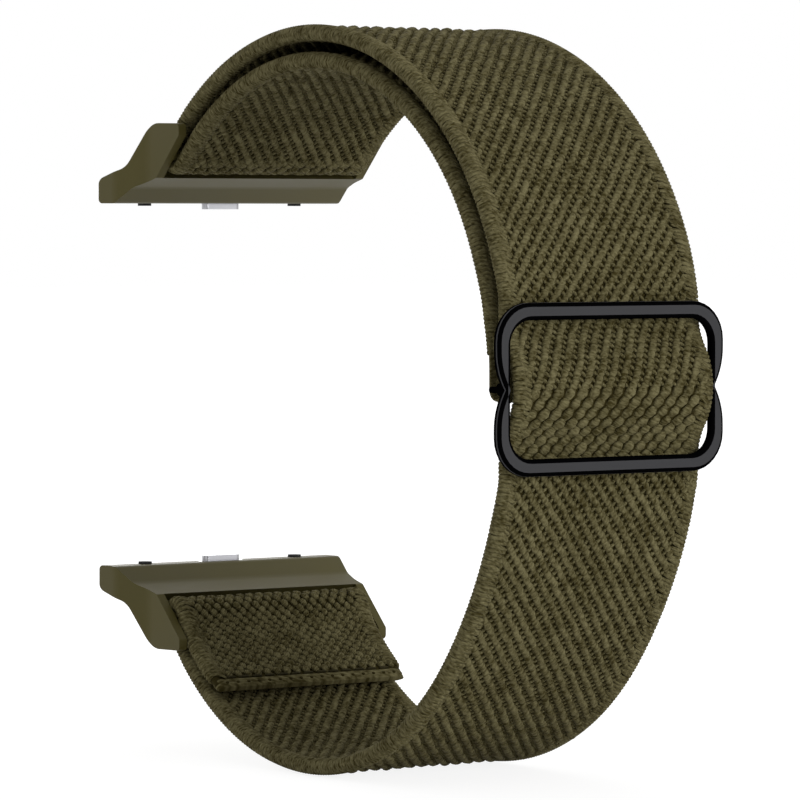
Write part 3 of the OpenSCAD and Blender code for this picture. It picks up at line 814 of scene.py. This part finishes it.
def from_srgb(red, green, blue):
    """A colour written as it looks on a screen, 0 to 255, made linear."""
    return tuple(
        (c / 255 / 12.92 if c <= 10 else ((c / 255 + 0.055) / 1.055) ** 2.4)
        for c in (red, green, blue)
    ) + (1,)


def weighted(tree, *terms):
    """The sum of values, each times its weight."""
    total = None
    for value, weight in terms:
        term = calc(tree, "MULTIPLY", value, weight)
        total = term if total is None else calc(tree, "ADD", total, term)
    return total


def noise(tree, place, scale, detail=2.0):
    """Soft noise, from 0 to 1."""
    return put(tree, "ShaderNodeTexNoise",
               named={"Vector": place, "Scale": scale, "Detail": detail}).outputs[0]


def end_finish(tree, asked, made, share, rough, height, strength):
    """Feeds a finish group's colour, roughness and normal."""
    colour = put(tree, "ShaderNodeMix", share, asked["Dark"], asked["Light"], data_type="RGBA")
    bump = put(tree, "ShaderNodeBump", named={
        "Strength": strength, "Distance": asked["Relief"], "Height": height})
    tree.links.new(colour.outputs[2], made["Color"])
    tree.links.new(rough.outputs[0], made["Roughness"])
    tree.links.new(bump.outputs[0], made["Normal"])


def finished(name, group, gloss, metallic=0.0, **values):
    """A material whose colour, roughness and normal come from a finish group, fed by
    name, with _ for a space."""
    material, tree, shader = new_material(name)
    made = put(tree, "ShaderNodeGroup", node_tree=group, named={
        key.replace("_", " "): value for key, value in values.items()}).outputs
    for output, target in (("Color", "Base Color"), ("Roughness",) * 2, ("Normal",) * 2):
        tree.links.new(made[output], shader.inputs[target])
    shader.inputs["Metallic"].default_value = metallic
    shader.inputs["Specular IOR Level"].default_value = gloss
    return material


# %% Group: fine threads
thread_turns = 2.0
tone_jump = 40.0
patch_scale = 420.0


def fine_threads_group():
    """Colour, roughness and normal of a yarn from its UV map and its tone attribute."""
    tree, asked, made = new_group(
        "fine_threads", "ShaderNodeTree",
        {"Color": "Dark, Light", "Float": "Along, Around, Relief"}, finish_outputs)
    uv = put(tree, "ShaderNodeUVMap", uv_map="UVMap").outputs[0]
    tone = put(tree, "ShaderNodeAttribute", attribute_name="tone").outputs["Fac"]
    along_yarn, round_yarn, _ = put(tree, "ShaderNodeSeparateXYZ", uv).outputs
    stretched = put(tree, "ShaderNodeCombineXYZ",
                    weighted(tree, (along_yarn, asked["Along"]), (round_yarn, thread_turns)),
                    calc(tree, "MULTIPLY", round_yarn, asked["Around"]),
                    calc(tree, "MULTIPLY", tone, tone_jump)).outputs[0]
    # The streaks along the yarn give its relief and roughness, and as lighter colour they are
    # painted sheen.
    threads_and_painted_sheen = noise(tree, stretched, scale=1.0)
    patches = noise(tree, put(tree, "ShaderNodeTexCoord").outputs["Object"], patch_scale)
    share = put(tree, "ShaderNodeMapRange",
                weighted(tree, (threads_and_painted_sheen, 0.7), (tone, 0.06), (patches, 0.24)),
                named={"From Min": 0.36, "From Max": 0.62}).outputs[0]
    rough = put(tree, "ShaderNodeMapRange", threads_and_painted_sheen, named={"To Min": 0.9, "To Max": 0.68})
    end_finish(tree, asked, made, share, rough, height=threads_and_painted_sheen, strength=0.8)
    return tree


fine_threads = fine_threads_group()


def yarn(name, dark, light, along, around, relief):
    """Matt yarn, with streaks so often along it and around it."""
    return finished(name, fine_threads, 0.1, Dark=from_srgb(*dark), Light=from_srgb(*light),
                    Along=along, Around=around, Relief=relief)


webbing_yarn = yarn("webbing_yarn", (62, 55, 25), (124, 117, 83), 13.0, 4.0, 0.16 * mm)
# The core is painted darker than the yarn, as the shade in the gaps between the stitches.
webbing_core = yarn("webbing_core", (42, 36, 10), (60, 53, 20), 60.0, 60.0, 0.03 * mm)
sewing_thread = yarn("sewing_thread", (42, 38, 20), (66, 60, 38), 3.0, 7.0, 0.03 * mm)
print("fine threads:", len(fine_threads.nodes), "nodes")

# %% [markdown]
# ## Making the webbing
#
# Under the stitches lies a dark core: a flat band with a round cord along each edge. It is
# swept along the same path. One long mesh would look the same at rest, but each stretch
# stands for a solid of the frame: the fixed ones ride with the webbing and those in the
# slider ride with it, while the three between them are left in place with no body.

# %% The core's cross-sections
cord_turn = 280
cord_steps = 12


def core_section():
    """Points round the core's cross-section: across, out, and whether the edge flattens it."""
    section = []
    for hand in (1, -1):
        for k in range(cord_steps + 1):
            a = math.radians(-cord_turn / 2 + cord_turn * k / cord_steps)
            across = hand * (bead_across + bead_core_r * math.cos(a))
            section.append((across, hand * bead_core_r * math.sin(a), True))
        section.append((hand * (bead_across - bead_core_r), hand * core_half_t, False))
        section.append((-hand * (bead_across - bead_core_r), hand * core_half_t, False))
    return section


def flat_section(width, thickness):
    """Points round a flat band with round edges."""
    r = thickness / 2
    return [
        (hand * (width / 2 - r + r * math.cos(a)), hand * r * math.sin(a), True)
        for hand in (1, -1)
        for a in (math.radians(-90 + 22.5 * k) for k in range(9))
    ]


print("core section", len(core_section()), "points")


# %% Sweeping a section along the path
core_grain = 0.3


def directions(path):
    """Unit directions along a path, at its points."""
    ahead = np.gradient(path, axis=0)
    return ahead / np.linalg.norm(ahead, axis=1)[:, None]


def path_lengths(path):
    """Length along a path at each of its points."""
    steps = np.linalg.norm(np.diff(path, axis=0), axis=1)
    return np.concatenate([[0], np.cumsum(steps)])


def sweep(name, path, section, share, material):
    """A closed solid swept along the path. Share flattens the marked points of each ring."""
    build = bmesh.new()
    uv = build.loops.layers.uv.new("UVMap")
    rings = []
    spots = {}
    for (y, z), (dy, dz), flat, length in zip(path, directions(path), share, path_lengths(path)):
        rings.append([])
        for across, out, flattened in section:
            reach = out * (flat if flattened else 1)
            vert = build.verts.new((across, y - dz * reach, z + dy * reach))
            spots[vert] = (length / mm * core_grain, across / mm * core_grain)
            rings[-1].append(vert)
    for ring, following in zip(rings, rings[1:]):
        for k in range(len(section)):
            n = (k + 1) % len(section)
            build.faces.new((ring[k], ring[n], following[n], following[k])).smooth = True
    build.faces.new(rings[0])
    build.faces.new(rings[-1])
    bmesh.ops.recalc_face_normals(build, faces=build.faces)
    for face in build.faces:
        for loop in face.loops:
            loop[uv].uv = spots[loop.vert]
    return finish_mesh(name, build, material)


# %% The looks of the cloth, and how far its edges are pressed
# Each look: its stitch, every how many rows it starts, its crossing, the rows' pitch, how
# far each row is shifted, and how many columns there are.
looks = {
    "ribs": (ribs, 3, crossings, row_pitch, 1 / 3, columns),
    "steep ribs": (steep_ribs, 3, steep_crossings, row_pitch, 0.2, columns),
    "knobs": (knobs, 1, None, knob_pitch, 1 / 3, columns),
    "scales": (scales, 1, None, scale_pitch, 1 / 2, columns),
    "fine": (fine_knobs, 1, None, fine_pitch, 1 / 2, fine_columns),
    "thin": (thin_knobs, 1, None, knob_pitch, 1 / 2, columns + 1),
}
press_ease = 4 * mm
bare_ease = 1 * mm
tail_ease = 3 * mm
tail_share = 0.42
tail_swell = 0.37


def bead_share(length, bead_ends, bare, tail):
    """The share of the bead's thickness that is left at each length along a stretch."""
    def swelling(distance, ease):
        return pressed_share + (1 - pressed_share) * distance / ease

    share = np.ones(len(length))
    if bare:
        share = np.minimum(share, swelling(length - bare, bare_ease))
    if bead_ends[0] == "pressed":
        share = np.minimum(share, swelling(length, press_ease))
    if bead_ends[1] == "pressed":
        share = np.minimum(share, swelling(length[-1] - length, press_ease))
    if bead_ends == ("pressed", "pressed"):
        share[:] = pressed_share
    if tail:
        share = np.minimum(share, tail_share + tail_swell * (length[-1] - length) / tail_ease)
    return share


print("looks:", ", ".join(looks))


# %% One stretch of webbing
def modifier_input(modifier, name, value):
    """Sets a Geometry Nodes modifier's input by its socket's identifier."""
    for socket in modifier.node_group.interface.items_tree:
        if socket.in_out == "INPUT" and socket.name == name:
            modifier[socket.identifier] = value


def webbing_stretch(name, path, look, lean, bead_ends, first_row, seed, bare=0.0):
    """Core and stitches of one stretch, as one plain mesh object.
    Lean is 1 where the outside's ribs lean to the right, and -1 where to the left.
    Bare is the length at its start that has no stitches."""
    length = path_lengths(path)
    share = bead_share(length, bead_ends, bare, name == "webbing_tail_end")
    thin = look == "thin"
    section = flat_section(tail_show_w, tail_t / 2) if thin else core_section()
    main, every, crossing, pitch, slant, across = looks[look]
    start, inner = (int(np.searchsorted(length, at - 1e-9)) for at in (bare, bare / 3))
    core = sweep(name + "_core", path[inner:], section, share[inner:],
                 webbing_yarn if thin else webbing_core)
    line = bpy.data.meshes.new(name + "_path")
    line.from_pydata([(0, y, z) for y, z in path[start:]],
                     [(i, i + 1) for i in range(len(path) - start - 1)], [])
    line.attributes.new("bead", "FLOAT", "POINT").data.foreach_set("value", share[start:])
    host = bpy.data.objects.new(name + "_path", line)
    scene.collection.objects.link(host)
    modifier = host.modifiers.new("webbing", "NODES")
    modifier.node_group = webbing_nodes
    fed = {
        "Core": core, "Front Stitch": main[lean], "Back Stitch": main[-lean],
        "Every": float(every), "Columns": float(across),
        "Column Pitch": column_pitch * (columns / across if look == "fine" else 1),
        "Row Pitch": pitch, "Whip Pitch": whip_pitch, "Edge Across": bead_across,
        "Front Lean": lean * slant, "Back Lean": lean * slant,
        "First Row": float(first_row), "Seed": seed, "Yarn": webbing_yarn,
    }
    if crossing:
        fed |= {"Front Crossing": crossing[lean], "Back Crossing": crossing[-lean]}
    if not thin:
        fed["Whip Stitch"] = whip
    for key, value in fed.items():
        modifier_input(modifier, key, value)
    bpy.context.view_layer.update()
    graph = bpy.context.evaluated_depsgraph_get()
    mesh = bpy.data.meshes.new_from_object(host.evaluated_get(graph))
    bpy.data.objects.remove(host)
    bpy.data.objects.remove(core)
    mesh.name = name
    rows = round((length[-1] - length[start]) / pitch)
    triangles = sum(len(p.vertices) - 2 for p in mesh.polygons)
    print(name, round(length[-1] / mm, 1), "mm", rows, "rows", triangles, "triangles")
    return bpy.data.objects.new(name, mesh), rows


# %% All the stretches
# Each stretch: its name, path, look and lean, how its bead starts and ends, and its solid.
stretches = [
    ("webbing_fold", lower_fold, "fine", -1, "round", "pressed", "webbing_lower_fold"),
    ("webbing_lower_back", lower_run_back, "ribs", -1, "pressed", "round",
     "webbing_lower_run"),
    ("webbing_lower_front", lower_run_front, "ribs", -1, "round", "round",
     "webbing_lower_run"),
    ("webbing_below_slider", lower_adjust, "ribs", -1, "round", "pressed",
     "webbing_lower_adjust"),
    ("webbing_behind_low_bar", pass_bottom, "ribs", -1, "pressed", "pressed",
     "webbing_slider_pass"),
    ("webbing_in_slider_low", pass_low, "scales", 1, "pressed", "pressed",
     "webbing_slider_pass"),
    ("webbing_in_slider_high", pass_high, "steep ribs", 1, "pressed", "pressed",
     "webbing_slider_pass"),
    ("webbing_behind_top_bar", pass_top, "ribs", 1, "pressed", "pressed",
     "webbing_slider_pass"),
    ("webbing_above_slider", outer_adjust, "ribs", 1, "pressed", "round",
     "webbing_outer_adjust"),
    ("webbing_outer_bow", outer_run, "ribs", 1, "round", "pressed", "webbing_outer_run"),
    ("webbing_round_bar", top_turn, "knobs", 1, "pressed", "pressed", "webbing_top_turn"),
    ("webbing_inner_bow", inner_run, "ribs", -1, "pressed", "round", "webbing_inner_run"),
    ("webbing_inner_fall", inner_adjust, "ribs", -1, "round", "pressed",
     "webbing_inner_adjust"),
    ("webbing_tail_end", tail_end, "ribs", -1, "pressed", "pressed", "webbing_tail_loop"),
    ("webbing_tail_wrap", tail_wrap, "thin", -1, "pressed", "pressed", "webbing_tail_loop"),
]
blended = {
    "webbing_below_slider": (lower_adjust[0], lower_adjust[-1]),
    "webbing_above_slider": (outer_adjust[-1], outer_adjust[0]),
    "webbing_inner_fall": (inner_adjust[0], inner_adjust[-1]),
}


first_row = 0
for seed, (name, path, look, lean, *bead_ends, node) in enumerate(stretches):
    bare = hem_len + hem_trench if name == "webbing_fold" else 0.0
    piece, rows = webbing_stretch(name, path, look, lean, tuple(bead_ends), first_row,
                                  seed * 10, bare)
    first_row += rows
    scene.collection.objects.link(piece)
    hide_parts(node)
    if name in blended:
        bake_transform(piece)
    elif node in ("webbing_slider_pass", "webbing_tail_loop"):
        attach(piece, "slider")
    else:
        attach(piece, "webbing")
print("all stretches:", first_row, "rows")

# %% [markdown]
# The fold-back ends in a flat hem. The needle has left a row of holes in it, drawn as dark
# dots of painted shade, and the seam lies in the trench between the hem and the first row of
# stitches. Each is a simple shape set in a short row, so plain loops make them.

# %% The hem
hem_degrees = math.degrees(hem_len / fold_r)
hem_t = 1.3 * mm
hem_r = fold_r + (webbing_t - hem_t) / 2
hem_step = 0.07 * mm
hem_round = 0.25
hem_blunt = 0.85
hem_thinnest = 0.7
hem_path = chain(arc(bottom_c, hem_r, fold_end, fold_end + hem_degrees, hem_step))
hem_at = path_lengths(hem_path) / hem_len
from_side = np.minimum(hem_at, 1 - hem_at) / hem_round
hem_share = np.sqrt(1 - np.clip(1 - from_side, 0, hem_blunt) ** 2)
hem_share *= hem_thinnest + (1 - hem_thinnest) * np.minimum(hem_at, 1)
hem = sweep("fold_hem", hem_path, flat_section(webbing_w - hem_t / 2, hem_t), hem_share,
            webbing_yarn)
print("hem", round(hem_len / mm, 2), "mm wide")


# %% The needle holes in the hem, as dots of painted shade
def row_offsets(count, pitch):
    """Places across the strap of a row of things, centred on its middle."""
    return [(i - (count - 1) / 2) * pitch for i in range(count)]


marks = 17
mark_pitch = 1.31 * mm
mark_r = 0.2 * mm
mark_half_h = 0.16 * mm
mark_share = 0.4
mark_centre = bottom_c + (hem_r - mark_share * hem_t) * along(
    fold_end + mark_share * hem_degrees)
build = bmesh.new()
for offset in row_offsets(marks, mark_pitch):
    for vert in bmesh.ops.create_icosphere(build, subdivisions=2, radius=1)["verts"]:
        vert.co = Vector((
            vert.co.x * mark_r + offset,
            vert.co.y * mark_r + mark_centre[0],
            vert.co.z * mark_half_h + mark_centre[1],
        ))
# Dark dots in the core's colour, painted as the shade inside the needle holes.
hem_marks = finish_mesh("hem_marks", build, webbing_core)
for piece in (hem, hem_marks):
    scene.collection.objects.link(piece)
    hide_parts("webbing_lower_fold")
    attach(piece, "webbing")
print("hem marks", len(hem_marks.data.polygons), "faces")

# %% The seam in the trench
seam_line = [(-0.62, 0, -0.1), (-0.5, 0, 0.02), (-0.2, 0, 0.06), (0.2, 0, 0.06),
             (0.5, 0, 0.02), (0.62, 0, -0.1)]
seam_stitch = tube("seam_stitch", seam_line, (0.1, 0.13, 0.13, 0.1), sides=6,
                   reference=(0, 0, 1)).data
seam_stitches = 13
seam_pitch = 1.6 * mm
seam_sunk = 0.3 * webbing_t
seam_past_hem = 0.3 * hem_trench
seam_at = bottom_c + (fold_r - seam_sunk) * along(
    fold_end + hem_degrees * (hem_len + seam_past_hem) / hem_len)
build = bmesh.new()
for offset in row_offsets(seam_stitches, seam_pitch):
    first = len(build.verts)
    build.from_mesh(seam_stitch)
    build.verts.ensure_lookup_table()
    for vert in build.verts[first:]:
        vert.co += Vector((offset, *seam_at))
seam = finish_mesh("seam", build, sewing_thread)
scene.collection.objects.link(seam)
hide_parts("bottom_seam_thread")
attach(seam, "webbing")
print("seam", len(seam.data.polygons), "faces")

# %% [markdown]
# ## Metal, rubber and thread
#
# The rigid pieces keep their solids from the frame. The coated metal gets a fine grain and
# a slight unevenness of tone, because a plain colour looks like plastic. The pattern reads
# Object coordinates, so that it needs no UV map and stays on a piece that moves.

# %% Group: fine grain
cloud_scale = 160.0


def fine_grain_group():
    """Tone, roughness and normal of a coated or brushed surface, from Object coordinates."""
    tree, asked, made = new_group(
        "fine_grain", "ShaderNodeTree",
        {"Color": "Dark, Light", "Float": "Smooth, Rough, Grain Size, Relief"},
        finish_outputs)
    place = put(tree, "ShaderNodeTexCoord").outputs["Object"]
    grain = noise(tree, place, calc(tree, "DIVIDE", 1.0, asked["Grain Size"]), detail=3.0)
    clouds = noise(tree, place, cloud_scale)
    rough = put(tree, "ShaderNodeMapRange", clouds,
                named={"To Min": asked["Smooth"], "To Max": asked["Rough"]})
    share = weighted(tree, (clouds, 0.7), (grain, 0.3))
    end_finish(tree, asked, made, share, rough, height=grain, strength=0.4)
    return tree


fine_grain = fine_grain_group()


def grained(name, dark, light, smooth, rough, grain, relief, metallic=0.0, gloss=0.5):
    """A coated, brushed or moulded surface."""
    return finished(name, fine_grain, gloss, metallic, Dark=from_srgb(*dark),
                    Light=from_srgb(*light), Smooth=smooth, Rough=rough,
                    Grain_Size=grain * mm, Relief=relief * mm)


connector_coat = grained(
    "connector_coat", (79, 73, 36), (93, 86, 48), 0.45, 0.55, 0.15, 0.006, gloss=0.15)
slider_face = grained(
    "slider_face", (46, 46, 48), (54, 54, 57), 0.4, 0.48, 0.12, 0.004, gloss=0.2)
latch_steel = grained(
    "latch_steel", (150, 150, 154), (190, 190, 194), 0.25, 0.38, 0.1, 0.004, metallic=1.0)
# Painted dark reflection and painted shade: near-black with no gloss, on the bevels, the back,
# the middle bar, its pin and the lugs.
slider_edge_painted_reflection = grained(
    "slider_edge_painted_reflection", (3, 3, 4), (7, 7, 8), 0.3, 0.4, 0.12, 0.001, gloss=0.0)
nub_rubber = grained(
    "nub_rubber", (22, 22, 22), (34, 34, 34), 0.7, 0.85, 0.1, 0.01)
print("materials:", [material.name for material in bpy.data.materials])


# %% Finishes of the frame's own pieces
finish_of = {"tail_seam_thread": sewing_thread}
for end in ("top", "bottom"):
    finish_of[end + "_connector_body"] = connector_coat
    finish_of[end + "_rubber_nubs"] = nub_rubber
    for part in ("catch", "spring", "retainer"):
        finish_of[f"{end}_latch_{part}"] = latch_steel
for node, material in finish_of.items():
    mesh = frame["nodes"][node].data
    mesh.materials.clear()
    mesh.materials.append(material)
print("new finish on", len(finish_of), "of the frame's pieces")

# %% [markdown]
# ## The slider
#
# The slider is a plate with one tall window, a waist at mid-height and, behind it, a
# middle bar on two lugs. Its solid has sharp edges. A Bevel modifier could round them, but
# the face and the bevel need two finishes with a clean line between them. So the same
# outlines carry rings of points round the bevel, and the face stays satin. The bevel is
# painted near-black and given no gloss, as painted dark reflection of a polished edge and
# painted shade at the window, and one ring of it keeps the face's grey as a painted
# highlight line.

# %% Outlines of the slider
window_play = 0.24 * mm
window_w = webbing_w + window_play
bar_taller = 0.25 * mm
window_half_h = slider_h / 2 - slider_bar_h - bar_taller
window_corner = 2.4 * mm
slider_w = slider_high.x - slider_low.x
slider_corner = 3.7 * mm
bulge_r = 7 * mm
notch = 1.05 * mm
bulge_z = math.sqrt(2 * bulge_r * notch - notch ** 2)


def full_loop(quarter):
    """A closed outline from its first quarter, which runs from the side to the top."""
    upper = quarter + [(-x, z) for x, z in reversed(quarter[:-1])]
    return np.array(upper + [(x, -z) for x, z in reversed(upper[1:-1])])


def quarter_of(side, corner, corner_r):
    """Side points, then the round corner, then the middle of the top."""
    points = [*side, (corner[0] + corner_r, corner[1])]
    for k in range(1, 9):
        a = math.radians(90 * k / 8)
        points.append((corner[0] + corner_r * math.cos(a), corner[1] + corner_r * math.sin(a)))
    top = points[-1][1]
    return points + [(corner[0] * (1 - k / 3), top) for k in (1, 2, 3)]


first_bulge = -math.asin(bulge_z / bulge_r)
side_steps = [k / 8 for k in range(9)]
outer_side = [
    (slider_w / 2 - bulge_r + bulge_r * math.cos(first_bulge * (1 - t)),
     bulge_z + bulge_r * math.sin(first_bulge * (1 - t)))
    for t in side_steps
]
outer_loop = full_loop(quarter_of(
    outer_side, (slider_w / 2 - slider_corner, slider_h / 2 - slider_corner), slider_corner))
window_loop = full_loop(quarter_of(
    [(window_w / 2, t * bulge_z) for t in side_steps],
    (window_w / 2 - window_corner, window_half_h - window_corner), window_corner))
print("outlines of", len(outer_loop), "and", len(window_loop), "points")

# %% The slider's plate
slider_bevel = 0.4 * mm
plate_t = 1.0 * mm


def loop_normals(loop):
    """Unit normals that point away from a closed outline's middle."""
    ahead = np.roll(loop, -1, axis=0) - np.roll(loop, 1, axis=0)
    normals = np.stack([ahead[:, 1], -ahead[:, 0]], axis=1)
    return normals / np.linalg.norm(normals, axis=1)[:, None]


def plate_profile():
    """Rounded edge of the plate: distance in from the outline, and depth."""
    turns = [math.radians(22.5 * k) for k in range(5)]
    front = [(slider_bevel * (1 - math.sin(a)), slider_bevel * (1 - math.cos(a)))
             for a in turns]
    back = [(slider_bevel * (1 - math.cos(a)), plate_t - slider_bevel * (1 - math.sin(a)))
            for a in turns]
    return front + back


build = bmesh.new()
rings = []
for outer, out_n, window, in_n in zip(
        outer_loop, loop_normals(outer_loop), window_loop, loop_normals(window_loop)):
    ring = [(*(outer - out_n * inset), depth) for inset, depth in plate_profile()]
    ring += [(*(window + in_n * inset), depth) for inset, depth in reversed(plate_profile())]
    rings.append([
        build.verts.new((x, slider_front + depth, slider_z + z)) for x, z, depth in ring
    ])
front_step = len(rings[0]) - 1
back_step = len(rings[0]) // 2 - 1
# This ring of the bevel takes the face's grey, as a painted highlight line.
painted_highlight_step = 3
for ring, following in zip(rings, rings[1:] + rings[:1]):
    for j in range(len(ring)):
        n = (j + 1) % len(ring)
        face = build.faces.new((ring[j], ring[n], following[n], following[j]))
        face.smooth = j not in (front_step, back_step)
        face.material_index = 0 if j in (front_step, painted_highlight_step) else 1
print("plate", len(build.faces), "faces")

# %% The middle bar and its lugs
lug_h = 0.6 * mm
lug_t = slider_w / 2 - notch - window_w / 2


def prism(outline, low_x, high_x):
    """A closed bar along X from an outline of points in Y and Z."""
    ends = [[build.verts.new((x, y, z)) for y, z in outline] for x in (low_x, high_x)]
    for end in ends:
        build.faces.new(end).material_index = 1
    for k in range(len(outline)):
        n = (k + 1) % len(outline)
        wall = build.faces.new((ends[0][k], ends[0][n], ends[1][n], ends[1][k]))
        wall.material_index = 1
        wall.smooth = True


lug_root_y = slider_front + slider_t / 2
lug = [(lug_root_y, slider_z - lug_h / 2),
       *(middle_bar + lug_h / 2 * along(-90 + 18 * k) for k in range(11)),
       (lug_root_y, slider_z + lug_h / 2)]
for side in (-1, 1):
    prism(lug, *sorted((side * window_w / 2, side * (window_w / 2 + lug_t))))
bar = [middle_bar + middle_bar_d / 2 * along(15 * k) for k in range(24)]
prism(bar, -window_w / 2 + lug_t, window_w / 2 - lug_t)
pin = [middle_bar + lug_h / 2 * along(30 * k) for k in range(12)]
prism(pin, -window_w / 2 - lug_t / 2, window_w / 2 + lug_t / 2)
bmesh.ops.recalc_face_normals(build, faces=build.faces)
slider = finish_mesh("slider", build, slider_face, slider_edge_painted_reflection)
scene.collection.objects.link(slider)
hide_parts("slider_frame")
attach(slider, "slider")
print("slider", len(slider.data.polygons), "faces, middle bar at", middle_bar.round(4))
